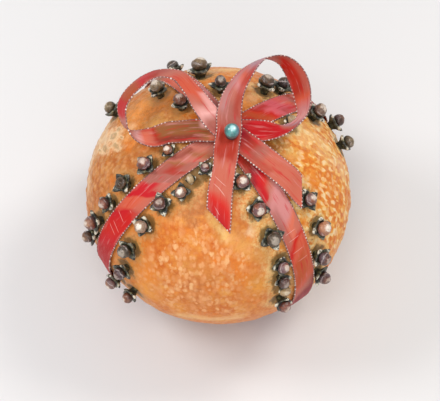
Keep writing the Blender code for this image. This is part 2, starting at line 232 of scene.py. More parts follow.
class Tree:
    """A node tree as it is drawn up."""

    def __init__(self, tree):
        self.tree = tree

    def add(self, kind, inputs=None, **settings):
        """Adds a node. An input takes a value, or the wire that feeds it."""
        item = self.tree.nodes.new(kind)
        for key, value in settings.items():
            setattr(item, key, value)
        for key, value in (inputs or {}).items():
            self.feed(item.inputs[key], value)
        return Node(self, item)

    def feed(self, socket, value):
        if isinstance(value, Wire):
            self.tree.links.new(value.socket, socket)
        else:
            socket.default_value = value

    def math(self, operation, *values):
        return self.add("ShaderNodeMath", dict(enumerate(values)), operation=operation)[0]

    def vector(self, operation, *values):
        item = self.add("ShaderNodeVectorMath", dict(enumerate(values)), operation=operation)
        return item["Value" if operation in ("LENGTH", "DISTANCE", "DOT_PRODUCT") else "Vector"]

    def scaled(self, vector, scale):
        return self.add("ShaderNodeVectorMath", {0: vector, "Scale": scale}, operation="SCALE")[0]

    def noise(self, vector, scale, detail=2.0, roughness=0.5):
        inputs = {"Vector": vector, "Scale": scale, "Detail": detail, "Roughness": roughness}
        return self.add("ShaderNodeTexNoise", inputs)

    def cells(self, vector, scale, randomness=1.0):
        return self.add("ShaderNodeTexVoronoi", {"Vector": vector, "Scale": scale, "Randomness": randomness})

    def mix(self, share, first, second):
        item = self.add("ShaderNodeMix", {"Factor": share}, data_type="RGBA").item
        for place, colour in (("A", first), ("B", second)):
            socket = next(s for s in item.inputs if s.name == place and s.type == "RGBA")
            self.feed(socket, colour if isinstance(colour, Wire) else (*colour, 1.0))
        return Wire(self, next(s for s in item.outputs if s.type == "RGBA"))

    def kept(self, name):
        """Value that keep_values or stored left on the mesh, read by a material."""
        return self.add("ShaderNodeAttribute", attribute_name=name)["Fac"]

    def place(self):
        """Place of the spot that a material colours, in millimetres."""
        return self.add("ShaderNodeTexCoord")["Object"] * (1.0 / MM)


def new_shape_tree(name, **inputs):
    """Geometry Nodes tree with named inputs of the given socket types, and its input and output nodes."""
    group = bpy.data.node_groups.new(name, "GeometryNodeTree")
    group.interface.new_socket("Geometry", in_out="INPUT", socket_type="NodeSocketGeometry")
    for key, kind in inputs.items():
        group.interface.new_socket(title_of(key), in_out="INPUT", socket_type=f"NodeSocket{kind}")
    group.interface.new_socket("Geometry", in_out="OUTPUT", socket_type="NodeSocketGeometry")
    tree = Tree(group)
    return tree, tree.add("NodeGroupInput"), tree.add("NodeGroupOutput").item.inputs["Geometry"]


def title_of(key):
    return key.replace("_", " ").capitalize()


def placed(name, data):
    """New object at the origin."""
    item = bpy.data.objects.new(name, data)
    bpy.context.scene.collection.objects.link(item)
    return item


def shaped(name, tree, mesh, **inputs):
    """Object with the plain mesh that a Geometry Nodes tree makes out of a mesh."""
    item = placed(name, mesh)
    shaping = item.modifiers.new("shape", "NODES")
    shaping.node_group = tree.tree
    sockets = {s.name: s.identifier for s in tree.tree.interface.items_tree if s.in_out == "INPUT"}
    for key, value in inputs.items():
        shaping[sockets[title_of(key)]] = value
    depsgraph = bpy.context.evaluated_depsgraph_get()
    result = bpy.data.meshes.new_from_object(item.evaluated_get(depsgraph))
    result.name = name
    result.transform(Matrix.Scale(MM, 4))
    item.modifiers.clear()
    item.data = result
    return item


def keep_values(mesh, name, values, kind="FLOAT", field="value"):
    """Stores one value for each vertex of a mesh."""
    mesh.attributes.new(name, kind, "POINT").data.foreach_set(field, values)


def named_value(tree, name, kind="FLOAT"):
    return tree.add("GeometryNodeInputNamedAttribute", {"Name": name}, data_type=kind)["Attribute"]


def stored(tree, geometry, name, value):
    inputs = {"Geometry": geometry, "Name": name, "Value": value}
    return tree.add("GeometryNodeStoreNamedAttribute", inputs, data_type="FLOAT", domain="POINT")["Geometry"]


def laid_on(tree, points, shape, inputs):
    """Copies a shape to every point, as geometry of its own."""
    laid = tree.add("GeometryNodeInstanceOnPoints", {"Points": points, "Instance": shape, **inputs})[0]
    return tree.add("GeometryNodeRealizeInstances", {"Geometry": laid})[0]


def smoothed(tree, geometry):
    return tree.add("GeometryNodeSetShadeSmooth", {"Geometry": geometry})[0]


def painted(tree, geometry, material):
    return tree.add("GeometryNodeSetMaterial", {"Geometry": geometry, "Material": material})[0]


def finish_of(name, fixed):
    """New material, its tree and its shader, with the values that stay the same all over."""
    material = bpy.data.materials.new(name)
    material.use_nodes = True
    shader = material.node_tree.nodes["Principled BSDF"]
    for key, value in fixed.items():
        shader.inputs[key].default_value = value
    return material, Tree(material.node_tree), shader


def plain_finish(name, colour, roughness, metallic=0.0):
    return finish_of(name, {"Base Color": (*colour, 1.0), "Roughness": roughness, "Metallic": metallic})[0]


def bumped(tree, shader, height, distance, strength):
    inputs = {"Height": height, "Distance": distance, "Strength": strength}
    tree.feed(shader.inputs["Normal"], tree.add("ShaderNodeBump", inputs)["Normal"])


# ---- the orange's surface ----

MIDDLE = Vector((0.0, 0.0, 38.8))
RADII = Vector((40.0, 40.0, 36.0))


def on_peel(direction, height=0.0):
    """Point over the peel, and the peel's outward normal, for a direction on the unit ball."""
    point = Vector(d * r for d, r in zip(direction, RADII))
    normal = Vector(d / r for d, r in zip(direction, RADII)).normalized()
    return MIDDLE + point + normal * height, normal


def knot_direction(right, back, up):
    return KNOT_RIGHT * right + KNOT_BACK * back + KNOT_UP * up


def from_knot(right, back, up):
    return on_peel(KNOT_UP)[0] + knot_direction(right, back, up)


def arm_axes(azimuth):
    outward = KNOT_RIGHT * math.sin(azimuth) - KNOT_BACK * math.cos(azimuth)
    return outward, KNOT_UP.cross(outward)


def beside_arm(azimuth, down_degrees, aside):
    """Direction of a spot beside an arm."""
    outward, sideways = arm_axes(azimuth)
    down = math.radians(down_degrees)
    off = aside / RADII.x
    along = KNOT_UP * math.cos(down) + outward * math.sin(down)
    return (along * math.cos(off) + sideways * math.sin(off)).normalized()


def smooth_step(value):
    value = min(max(value, 0.0), 1.0)
    return value * value * (3.0 - 2.0 * value)


# ---- cloves ----

# Pattern cloves: four with round buds, one whose bud has fallen, and one with a pale flat bud.
ROUND_BUDS = 4
OPEN_BUD = 4
PALE_BUD = 5
CLOVE_SEED = 11
FURTHER_STEP = 12.0  # degrees from one further clove to the next
FURTHER_ASIDE = 6.3
FURTHER_TILT = 0.09
FURTHER_SIZES = (0.88, 1.04)  # from and to
CLOVE_ROOM = 5.4  # nearest that a further clove comes to another
# Further cloves: the arm, the side of it, and the first and last degrees down the arm.
FURTHER_ROWS = (
    ("front_left", -1, 142.0, 152.0),
    ("front_left", 1, 147.0, 152.0),
    ("front_right", -1, 150.0, 152.0),
    ("front_right", 1, 138.0, 152.0),
    ("back_right", -1, 104.0, 152.0),
    ("back_right", 1, 54.0, 56.0),
    ("back_right", 1, 104.0, 152.0),
    ("back_left", -1, 118.0, 152.0),
    ("back_left", 1, 104.0, 152.0),
)

CLOVE_SIDES = 32
BUD_SIDES = 24
BUD_STEPS = 13
TEETH = 4
SHORT_TEETH = 0.45  # of the pale flat bud, where the other buds have 1
BUD_RADIUS = (1.75, 2.1)  # from and to
FLAT_BUD_RADIUS = 1.9
FLAT_BUD_STRETCH = (1.35, 0.9)
SEAM_WIDTH = 0.3
SEAM_DEPTH = 0.13
PETAL_OVERLAP = 0.07
CROWN_POINT = 0.14
# How far and how closely the skin goes in and out.
CALYX_UNEVEN = (0.16, 1.1)
BUD_UNEVEN = (0.17, 0.9)
LOWEST_HEIGHT = 0.02  # of any clove over the floor
STEM_DEPTH = 7.5  # of a clove of size 1
STEM_SIDES = 8  # of a packed clove
# Rings of a clove's calyx: radius, reach of the teeth past it, height, rise of the teeth.
CALYX_RINGS = (
    (0.85, 0.0, -STEM_DEPTH, 0.0),
    (1.2, 0.0, -0.6, 0.0),
    (1.4, 0.0, 0.2, 0.0),
    (1.7, 0.1, 0.7, 0.0),
    (1.95, 0.8, 1.05, 0.15),
    (2.1, 1.4, 1.3, 0.45),
    (2.12, 1.6, 1.6, 0.7),
    (2.08, 1.3, 1.85, 0.65),
    (2.0, 0.6, 2.0, 0.35),
    (1.8, 0.0, 1.95, 0.0),
    (0.9, 0.0, 1.8, 0.0),
)
# Turned outline of the collar left by a fallen bud: radius, height.
OPEN_COLLAR = (
    (1.62, 1.9), (1.78, 2.5), (1.72, 3.0), (1.5, 3.15), (1.25, 2.95), (1.12, 2.4), (0.7, 2.25), (0.45, 2.6),
    (0.2, 2.9),
)


def tooth_share(angle):
    """1 on the middle of each of the four teeth, and 0 in the notches between them."""
    off = abs((angle + math.pi / 4.0) % (math.pi / 2.0) - math.pi / 4.0) / (math.pi / 4.0)
    return (1.0 - off) ** 1.15


def ring_of(shape, radius, height, sides):
    """Level ring of vertices round the upright axis."""
    angles = [math.tau * side / sides for side in range(sides)]
    return [shape.verts.new((radius * math.cos(a), radius * math.sin(a), height)) for a in angles]


def join_rings(shape, rings):
    """Faces between rings of vertices, closed by one face at both ends."""
    for low, high in zip(rings, rings[1:]):
        for side in range(len(low)):
            after = (side + 1) % len(low)
            shape.faces.new((low[side], low[after], high[after], high[side]))
    shape.faces.new(list(reversed(rings[0])))
    shape.faces.new(rings[-1])


def roughened(point, amount, scale, seed):
    """Moves a point of a clove in and out, as a dried bud is uneven."""
    shift = noise.noise(point * scale + Vector((seed, 0.0, 0.0))) * amount
    radial = Vector((point.x, point.y, 0.0))
    if radial.length < 1e-4:
        return point + Vector((0.0, 0.0, shift))
    return point + radial.normalized() * shift


def calyx(shape, chance, tooth_length):
    """The stem and the four-toothed cup. Returns its vertices with how near each is to a tooth's tip."""
    lengths = [tooth_length * chance.uniform(0.78, 1.12) for _ in range(TEETH)]
    rises = [chance.uniform(0.6, 1.5) for _ in range(TEETH)]
    seed = chance.uniform(0.0, 50.0)
    rings = []
    tips = {}
    for radius, reach, height, rise in CALYX_RINGS:
        ring = []
        for side in range(CLOVE_SIDES):
            angle = math.tau * side / CLOVE_SIDES
            tooth = int((angle + math.pi / 4.0) // (math.pi / 2.0)) % TEETH
            share = tooth_share(angle)
            out = radius + reach * share * lengths[tooth]
            up = height + rise * share * rises[tooth]
            point = Vector((out * math.cos(angle), out * math.sin(angle), up))
            vert = shape.verts.new(roughened(point, *CALYX_UNEVEN, seed))
            tips[vert] = share * min(reach, 1.0)
            ring.append(vert)
        rings.append(ring)
    join_rings(shape, rings)
    return tips


def round_bud(shape, chance, radius):
    """Ball of four petals that wrap over each other. Returns its vertices with how near each is to its
    painted highlight, a pale spot on the light side of its crown."""
    seed = chance.uniform(0.0, 50.0)
    wrap = chance.uniform(0.5, 1.3) * chance.choice((-1.0, 1.0))
    start = chance.uniform(0.0, math.tau)
    lean = Vector((chance.uniform(-0.25, 0.25), chance.uniform(-0.25, 0.25), 0.0))
    squash = chance.uniform(0.88, 1.0)
    # Direction of this bud's painted highlight.
    lit = Vector((chance.uniform(-0.5, 0.5), chance.uniform(-0.5, 0.5), 1.0)).normalized()
    centre = Vector((0.0, 0.0, 2.0 + radius * squash * 0.6))
    rings = []
    highlight_nearnesses = {}
    for step in range(1, BUD_STEPS):
        polar = math.pi * (1.0 - step / BUD_STEPS)
        ring = []
        for side in range(BUD_SIDES):
            angle = math.tau * side / BUD_SIDES
            seam = math.sin(2.0 * (angle + start + wrap * math.cos(polar)))
            groove = math.exp(-((seam / SEAM_WIDTH) ** 2)) * SEAM_DEPTH * math.sin(polar)
            overlap = PETAL_OVERLAP * (seam > 0.0) * math.sin(polar)
            size = radius * (1.0 - groove + overlap) + CROWN_POINT * math.exp(-((polar / 0.35) ** 2))
            point = Vector((
                size * math.sin(polar) * math.cos(angle),
                size * math.sin(polar) * math.sin(angle),
                size * squash * math.cos(polar),
            ))
            height = 0.5 + 0.5 * math.cos(polar)
            vert = shape.verts.new(centre + lean * height + roughened(point, *BUD_UNEVEN, seed))
            highlight_nearnesses[vert] = 0.5 + 0.5 * point.normalized().dot(lit)
            ring.append(vert)
        rings.append(ring)
    join_rings(shape, rings)
    return highlight_nearnesses


def open_collar(shape):
    """What stays when the bud has fallen off: a pale collar with a hollow and the style in its middle."""
    rings = [ring_of(shape, *corner, BUD_SIDES) for corner in OPEN_COLLAR]
    join_rings(shape, rings)
    return {vert: 0.5 for ring in rings for vert in ring}


def clove_pattern(number, collection):
    """One of the cloves that the rows are laid from."""
    chance = random.Random(CLOVE_SEED + number)
    shape = bmesh.new()
    tips = calyx(shape, chance, SHORT_TEETH if number == PALE_BUD else 1.0)
    if number == OPEN_BUD:
        bud = open_collar(shape)
    elif number == PALE_BUD:
        bud = round_bud(shape, chance, FLAT_BUD_RADIUS)
        for vert in bud:
            vert.co.x *= FLAT_BUD_STRETCH[0]
            vert.co.y *= FLAT_BUD_STRETCH[1]
    else:
        bud = round_bud(shape, chance, chance.uniform(*BUD_RADIUS))
    mesh = bpy.data.meshes.new(f"clove_pattern_{number}")
    shape.verts.index_update()
    highlight_nearnesses = {vert.index: near for vert, near in bud.items()}
    tip_shares = {vert.index: share for vert, share in tips.items()}
    shape.to_mesh(mesh)
    shape.free()
    count = range(len(mesh.vertices))
    keep_values(mesh, "bud", [float(index in highlight_nearnesses) for index in count])
    keep_values(mesh, "bloom", [highlight_nearnesses.get(index, 0.0) for index in count])
    keep_values(mesh, "tooth_tip", [tip_shares.get(index, 0.0) for index in count])
    mesh.shade_smooth()
    collection.objects.link(bpy.data.objects.new(mesh.name, mesh))


class Clove(NamedTuple):
    """One clove: where its axis meets the peel, the axis, the way a tooth points, its size and its looks."""

    point: Vector
    axis: Vector
    tooth: Vector
    size: float
    kind: int
    tone: float
    olive: float
    pale: float = 0.0

    def turn(self):
        side = (self.tooth - self.axis * self.tooth.dot(self.axis)).normalized()
        matrix = Matrix((side, self.axis.cross(side), self.axis)).transposed()
        return matrix.to_euler()


def packed_clove(node, kind, tone, olive, pale):
    """Reads a clove's place off its solid: the ring at the stem's tip, the ring at its top, and a tooth."""
    corners = {tuple(round(c, 6) for c in vert.co): vert.co / MM for vert in node.data.vertices}
    points = list(corners.values())
    crown = max(points, key=lambda p: (p - MIDDLE).length)
    points.sort(key=lambda p: -(p - crown).length)
    tip = sum(points[:STEM_SIDES], Vector()) / STEM_SIDES
    rest = sorted(points[STEM_SIDES:], key=lambda p: (p - tip).length)
    top = sum(rest[:STEM_SIDES], Vector()) / STEM_SIDES
    axis = (top - tip).normalized()
    tooth = max(rest[STEM_SIDES:], key=lambda p: ((p - top) - axis * (p - top).dot(axis)).length)
    return Clove(top, axis, tooth - top, (top - tip).length / STEM_DEPTH, kind, tone, olive, pale)


# Looks of the imported cloves by row: pattern, tone, how olive, how pale. The tone also sets how strong each
# ball's painted highlight is.
CLOVE_LOOKS = {
    "clove_front_left_outer": (
        (0, 0.65, 0.0, 0.1), (1, 0.40, 0.0, 0.0), (OPEN_BUD, 0.50, 0.8, 0.0), (2, 0.40, 0.1, 0.0),
        (3, 0.70, 0.2, 0.0), (0, 0.50, 0.6, 0.0),
    ),
    "clove_front_left_inner": (
        (2, 0.25, 0.0, 0.0), (PALE_BUD, 0.70, 0.6, 0.8), (3, 0.85, 0.2, 0.0), (2, 0.15, 0.1, 0.0),
        (1, 0.95, 0.5, 0.0), (0, 0.15, 0.9, 0.0), (3, 0.05, 0.1, 0.0), (1, 0.75, 0.2, 0.0),
        (2, 0.60, 0.3, 0.0),
    ),
    "clove_front_right_inner": (
        (0, 0.60, 0.0, 0.0), (1, 0.50, 0.0, 0.0), (3, 0.15, 0.9, 0.0), (2, 0.50, 0.0, 0.0),
        (0, 0.05, 0.2, 0.0), (PALE_BUD, 0.80, 0.6, 0.7), (1, 0.40, 0.0, 0.0),
    ),
    "clove_front_right_outer": (
        (2, 0.55, 0.1, 0.0), (1, 1.00, 0.0, 0.0), (0, 0.15, 0.1, 0.0), (3, 0.20, 0.1, 0.0),
    ),
    "clove_back_left_far": (
        (2, 0.10, 0.6, 0.0), (1, 0.60, 0.9, 0.0),
    ),
    "clove_back_left_near": (
        (3, 0.45, 0.3, 0.0), (0, 0.70, 1.0, 0.0), (1, 0.70, 1.0, 0.0),
    ),
    "clove_back_right_far": (
        (0, 0.30, 0.8, 0.0), (2, 0.05, 0.7, 0.0),
    ),
    "clove_back_right_near": (
        (1, 0.90, 0.4, 0.9), (3, 0.55, 0.6, 0.0), (2, 0.45, 0.4, 0.0), (1, 0.70, 1.0, 0.0),
    ),
}


def olive_share(name):
    """The cloves of the back arms are greener than the rest."""
    return 0.9 if "back" in name else 0.2


def packed_rows(nodes):
    """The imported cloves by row. The looks that aren't listed are drawn at random."""
    chance = random.Random(CLOVE_SEED)
    rows = {}
    for name in sorted(n for n in nodes if n.startswith("clove_")):
        look = (chance.randrange(ROUND_BUDS), chance.random(), olive_share(name), 0.0)
        row_name = name.rsplit("_", 1)[0]
        row = rows.setdefault(row_name, [])
        listed = CLOVE_LOOKS.get(row_name, ())
        if len(row) < len(listed):
            look = listed[len(row)]
        row.append((name, packed_clove(nodes[name], *look)))
    return rows


def further_cloves(taken):
    """More cloves along both sides of the ribbons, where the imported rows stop."""
    chance = random.Random(CLOVE_SEED + 100)
    found = []
    for arm, side, first, last in FURTHER_ROWS:
        down = first
        while down < last:
            aside = side * (FURTHER_ASIDE + chance.uniform(-0.4, 0.9))
            point, normal = on_peel(beside_arm(ARMS[arm], down + chance.uniform(-1.2, 1.2), aside))
            down += FURTHER_STEP
            if min((point - other).length for other in taken) < CLOVE_ROOM:
                continue
            tilt = Vector(chance.uniform(-FURTHER_TILT, FURTHER_TILT) for _ in range(3))
            axis = (normal + tilt).normalized()
            tooth = axis.orthogonal()
            tooth.rotate(Matrix.Rotation(chance.uniform(0.0, math.tau), 3, axis))
            size = chance.uniform(*FURTHER_SIZES)
            kind = chance.randrange(ROUND_BUDS)
            found.append(Clove(point, axis, tooth, size, kind, chance.random(), olive_share(arm)))
            taken.append(point)
    return found


def clove_laying_tree(patterns, material):
    """Lays a pattern clove on every point of a row, turned, sized and shaded by the point's values."""
    tree, given, result = new_shape_tree("clove_row", lowest_height="Float")
    picked = {"Collection": patterns, "Separate Children": True, "Reset Children": True}
    shapes = tree.add("GeometryNodeCollectionInfo", picked)[0]
    turn = tree.add("FunctionNodeEulerToRotation", {"Euler": named_value(tree, "turn", "FLOAT_VECTOR")})[0]
    cloves = laid_on(tree, given["Geometry"], shapes, {
        "Pick Instance": True,
        "Instance Index": named_value(tree, "kind", "INT"),
        "Rotation": turn,
        "Scale": named_value(tree, "size"),
    })
    place = tree.add("GeometryNodeInputPosition")[0]
    height = tree.add("ShaderNodeSeparateXYZ", {0: place})["Z"]
    lifted = tree.math("MAXIMUM", height, given["Lowest height"])
    standing = place * (1.0, 1.0, 0.0) + tree.add("ShaderNodeCombineXYZ", {"Z": lifted})[0]
    cloves = tree.add("GeometryNodeSetPosition", {"Geometry": cloves, "Position": standing})[0]
    tree.feed(result, painted(tree, cloves, material))
    return tree


def clove_row(name, cloves, tree):
    spots = bpy.data.meshes.new(name)
    spots.from_pydata([clove.point for clove in cloves], [], [])
    turns = [angle for clove in cloves for angle in clove.turn()]
    keep_values(spots, "turn", turns, "FLOAT_VECTOR", "vector")
    keep_values(spots, "kind", [clove.kind for clove in cloves], "INT")
    for key in ("size", "tone", "olive", "pale"):
        keep_values(spots, key, [getattr(clove, key) for clove in cloves])
    return shaped(name, tree, spots, lowest_height=LOWEST_HEIGHT)


def add_cloves(nodes):
    """Lays every row and returns where the cloves stand."""
    patterns = bpy.data.collections.new("clove_patterns")
    for number in range(PALE_BUD + 1):
        clove_pattern(number, patterns)
    tree = clove_laying_tree(patterns, clove_finish())
    rows = packed_rows(nodes)
    taken = [clove.point for row in rows.values() for _, clove in row]
    for row, members in rows.items():
        piece = clove_row(f"{row}_row", [clove for _, clove in members], tree)
        hand_over(piece, "clove", *[name for name, _ in members])
    hand_over(clove_row("further_cloves", further_cloves(taken), tree), "clove")
    return taken


CUP_COLOURS = (
    (0.38, (0.008, 0.009, 0.006)), (0.50, (0.022, 0.022, 0.012)), (0.58, (0.058, 0.058, 0.026)),
    (0.70, (0.24, 0.21, 0.10)),
)
BUD_COLOURS = (
    (0.34, (0.022, 0.008, 0.007)), (0.48, (0.090, 0.024, 0.015)), (0.60, (0.23, 0.062, 0.030)),
    (0.74, (0.42, 0.18, 0.090)),
)
OLIVE_BUD_COLOURS = (
    (0.34, (0.018, 0.014, 0.008)), (0.50, (0.065, 0.043, 0.020)), (0.62, (0.17, 0.110, 0.053)),
    (0.74, (0.40, 0.30, 0.17)),
)
TIP_HIGHLIGHT = (0.84, 0.77, 0.60)
MAUVE_REFLECTION = (0.15, 0.095, 0.115)
HIGHLIGHT_ARC = (0.50, 0.41, 0.38)
BUD_HIGHLIGHT = (0.86, 0.75, 0.63)
PALE_HEAD = (0.46, 0.33, 0.16)


def clove_finish():
    """Dried bud: olive-black cup with painted highlights on some tooth tips, and a red-brown ball painted
    lighter towards a painted highlight on its crown, with painted mauve reflection and a painted pale arc
    round the highlight.
    """
    fixed = {"Specular IOR Level": 0.5, "Coat Weight": 0.3, "Coat Roughness": 0.2}
    material, tree, shader = finish_of("clove_dried", fixed)
    place = tree.place()
    bud, tip, near, tone, olive, pale = map(tree.kept, ("bud", "tooth_tip", "bloom", "tone", "olive", "pale"))
    grain = tree.noise(place, 1.0, 3.0, 0.65)["Fac"]
    fine = tree.noise(place, 3.2, 3.0, 0.6)["Fac"]
    loose = tree.noise(place, 0.3, 1.0)["Fac"]
    # Painted highlights: pale cream on the tips of some teeth.
    tip_glints = grain.fade(0.42, 0.52) * loose.fade(0.44, 0.54, 0.1, 1.0)
    cup = tree.mix(tip.fade(0.35, 0.75) * tip_glints * 0.9, grain.ramp(CUP_COLOURS), TIP_HIGHLIGHT)
    # Painted shade: each ball is lighter towards its highlight and darker away from it.
    shade = grain * 0.4 + tone * 0.3 + near * 0.3
    # Painted reflection: patches of mauve laid at random over the balls.
    ball = tree.mix(loose.fade(0.50, 0.60, 0.0, 0.55), shade.ramp(BUD_COLOURS), MAUVE_REFLECTION)
    ball = tree.mix(olive, ball, shade.ramp(OLIVE_BUD_COLOURS))
    lit = near + (grain - 0.5) * 0.35
    # Painted highlight: the pale arc held in seam circles each bud's highlight spot.
    seam = abs(lit - 0.58).fade(0.055, 0.02)
    ball = tree.mix(seam * loose.fade(0.42, 0.58, 0.0, 0.7), ball, HIGHLIGHT_ARC)
    # Painted highlight: a pale cream spot on the light side of each bud's crown.
    ball = tree.mix(lit.fade(0.86, 0.98) * tone.fade(0.0, 1.0, 0.3, 1.0), ball, BUD_HIGHLIGHT)
    ball = tree.mix(pale * grain.fade(0.35, 0.6, 0.5, 1.0), ball, PALE_HEAD)
    tree.feed(shader.inputs["Base Color"], tree.mix(bud, cup, ball))
    tree.feed(shader.inputs["Roughness"], bud.fade(0.0, 1.0, 0.5, 0.36))
    bumped(tree, shader, grain + fine * 0.5, 0.25 * MM, 0.7)
    return material


# ---- the peel ----

PEEL_DIVISIONS = 129
PIT_SPACING = 1.45
DOME_SPACING = 2.6
HIGHEST_DOME = 0.16
PORE_SPACING = 0.85
# Large pores on the upper left: middle and radius of the dark ring, drawn out down the side of the fruit.
RING_PORES = (
    ((-29.7, 9.9, 61.2), 0.55), ((-30.9, 7.9, 60.6), 0.9), ((-33.9, 5.7, 57.2), 0.9),
    ((-30.3, 3.6, 62.3), 0.8), ((-35.2, 5.9, 55.1), 0.5), ((-28.5, 6.0, 63.0), 0.35),
)
PORE_SLOPE = (0.32, -0.62, 0.72)

OLIVE = (0.24, 0.14, 0.035)
YELLOW = (0.80, 0.46, 0.13)
AMBER = (0.76, 0.21, 0.024)
PEACH = (0.86, 0.48, 0.22)
CREAM = (0.93, 0.66, 0.38)
YELLOW_CREAM = (0.93, 0.62, 0.27)
UMBER = (0.50, 0.19, 0.055)
LOWER_GOLD = (0.88, 0.38, 0.05)
# Stains, lighter patches, painted light and painted shade on the peel: middle, radius, colour and share.
PEEL_PATCHES = (
    # Painted light: bright orange inside the left loop that lifts the loop's shadow.
    ((-22.0, 12.0, 67.0), 11.0, (0.99, 0.37, 0.075), 1.0),  # inside the left loop
    ((-18.5, 7.0, 70.0), 4.6, YELLOW, 0.8),
    ((-13.5, 4.5, 73.0), 3.6, YELLOW, 0.7),
    ((-25.5, 8.5, 65.0), 2.4, CREAM, 0.5),
    # Painted rim light: the cream patches down the left limb.
    ((-37.6, 9.0, 48.5), 6.0, CREAM, 0.75),  # left limb
    ((-34.5, 15.0, 52.0), 6.0, CREAM, 0.75),
    ((-34.0, 11.0, 54.5), 4.5, CREAM, 0.6),
    ((-39.3, -1.0, 46.5), 4.0, CREAM, 0.7),
    ((-38.8, 4.5, 47.5), 3.5, CREAM, 0.65),
    ((-35.5, 7.5, 53.0), 5.0, CREAM, 0.4),
    ((-32.5, 9.5, 57.0), 4.6, CREAM, 0.65),
    ((-29.5, 9.0, 61.8), 3.2, CREAM, 0.6),
    ((-30.0, 4.5, 62.0), 3.0, PEACH, 0.6),
    ((-36.7, 3.1, 52.9), 1.2, OLIVE, 0.35),
    ((-37.5, -1.5, 50.5), 1.4, OLIVE, 0.25),
    ((10.0, 15.5, 70.8), 3.4, PEACH, 0.7),  # inside the right loop
    ((8.5, 20.5, 68.5), 3.0, CREAM, 0.4),
    ((26.0, 5.0, 66.0), 6.0, YELLOW_CREAM, 0.6),  # right shoulder
    ((32.0, 3.0, 60.5), 6.5, YELLOW_CREAM, 0.4),
    ((37.0, 2.0, 54.0), 5.0, CREAM, 0.4),
    ((29.0, -7.0, 63.0), 4.5, AMBER, 0.6),
    ((33.5, -8.0, 57.0), 4.5, AMBER, 0.6),
    # Painted shade: the olive patches round the crossing, under the bow.
    ((17.5, -1.5, 71.2), 4.8, OLIVE, 0.75),  # round the crossing
    ((21.5, -3.0, 69.0), 4.0, YELLOW, 0.6),
    ((12.5, 10.5, 71.6), 5.0, OLIVE, 0.6),
    ((-4.0, -10.5, 73.4), 4.2, OLIVE, 0.6),
    ((5.0, -12.0, 72.8), 3.5, OLIVE, 0.5),
    ((-7.5, -17.5, 70.5), 3.5, AMBER, 0.5),
    ((14.5, -19.5, 67.3), 3.4, YELLOW_CREAM, 0.9),  # beside the front right ribbon
    ((9.5, -26.3, 64.5), 2.0, CREAM, 0.8),
    ((17.0, -23.5, 63.8), 2.8, YELLOW_CREAM, 0.8),
    ((12.0, -24.5, 64.8), 3.2, YELLOW, 0.6),
    ((16.0, -33.0, 53.5), 3.6, YELLOW_CREAM, 0.8),
    ((11.6, -35.6, 51.5), 2.4, OLIVE, 0.35),
    ((5.5, -33.5, 56.5), 5.0, AMBER, 0.75),
    ((-6.0, -35.0, 54.5), 8.0, UMBER, 0.45),  # dusky lower middle
    ((-6.0, -38.0, 46.0), 6.0, UMBER, 0.4),
    # Painted light: the orange and gold patches at the lower limb lift the shade there.
    ((-22.5, -31.3, 48.5), 6.0, (0.84, 0.27, 0.03), 0.6),
    ((-21.0, -34.0, 41.0), 5.5, LOWER_GOLD, 0.6),
    ((-12.0, -38.0, 38.5), 4.5, LOWER_GOLD, 0.5),
    ((11.5, -36.5, 49.5), 5.5, (0.90, 0.41, 0.065), 0.6),
    ((-22.0, -25.0, 58.0), 5.0, AMBER, 0.4),
)
# Flecks gathered in front: spacing, share of the cells, softness and colour.
FLECKS = (
    (2.6, 0.5, 0.24, (0.76, 0.30, 0.10)),
    (1.9, 0.75, 0.26, (0.70, 0.26, 0.078)),
    (1.6, 0.62, 0.18, (0.79, 0.35, 0.13)),
    (1.8, 0.26, 0.18, (0.85, 0.45, 0.19)),
)
# Strokes on the peel, the first dark and the others pale: start, end, half width, colour and share. The pale
# strokes down from the front tail are a painted highlight, and the one at the back of the top is painted rim
# light.
PEEL_STREAKS = (
    ((-5.2, -17.0, 70.8), (-8.0, -22.5, 67.6), 4.4, (0.42, 0.150, 0.040), 0.9),
    ((-5.0, 28.5, 64.0), (6.0, 31.0, 61.0), 2.6, YELLOW_CREAM, 0.75),
    ((-2.5, -23.0, 67.8), (2.6, -28.4, 64.0), 1.7, YELLOW, 0.8),
    ((0.5, -26.2, 65.8), (2.6, -28.4, 64.0), 1.3, YELLOW_CREAM, 0.5),
    ((2.5, -28.0, 64.3), (12.7, -31.0, 58.5), 3.4, YELLOW, 0.5),
    ((-10.7, -38.4, 33.0), (6.5, -39.6, 34.5), 3.0, YELLOW_CREAM, 0.6),
)
# Peel by tone, the browner peel of the left quarter, painted shade, and the dabs of the right quarter by
# their own value, peel mottling mixed with painted light.
ORANGE_TONES = (
    (0.36, (0.55, 0.112, 0.010)), (0.45, (0.63, 0.160, 0.018)), (0.54, (0.69, 0.220, 0.033)),
    (0.64, (0.76, 0.310, 0.062)),
)
BROWN_TONES = ((0.38, (0.36, 0.092, 0.014)), (0.50, (0.46, 0.135, 0.021)), (0.62, (0.56, 0.210, 0.046)))
DAB_COLOURS = (
    (0.15, (0.68, 0.165, 0.013)), (0.34, (0.77, 0.24, 0.023)), (0.50, (0.85, 0.37, 0.055)),
    (0.62, (0.90, 0.50, 0.12)), (0.76, (0.95, 0.66, 0.29)), (0.88, (0.96, 0.75, 0.42)),
)
GLOWING = (0.76, 0.185, 0.012)
LEFT_SPECKLE = (0.76, 0.34, 0.12)
PALE_DOT = (0.90, 0.54, 0.25)
PIT_SHADE = (0.50, 0.13, 0.018)
# Painted light round each clove: a yellow ring, paler and creamier on the right.
LEFT_HALO = (0.60, 0.30, 0.09)  # round each clove
RIGHT_HALO = (0.84, 0.60, 0.25)
# Painted shade round each clove.
CLOVE_SHADE_COLOUR = (0.17, 0.10, 0.028)
FRONT_FLECKS = (-6.0, -36.0, 52.0)
LEFT_LOOP = (-20.0, 9.0, 69.0)


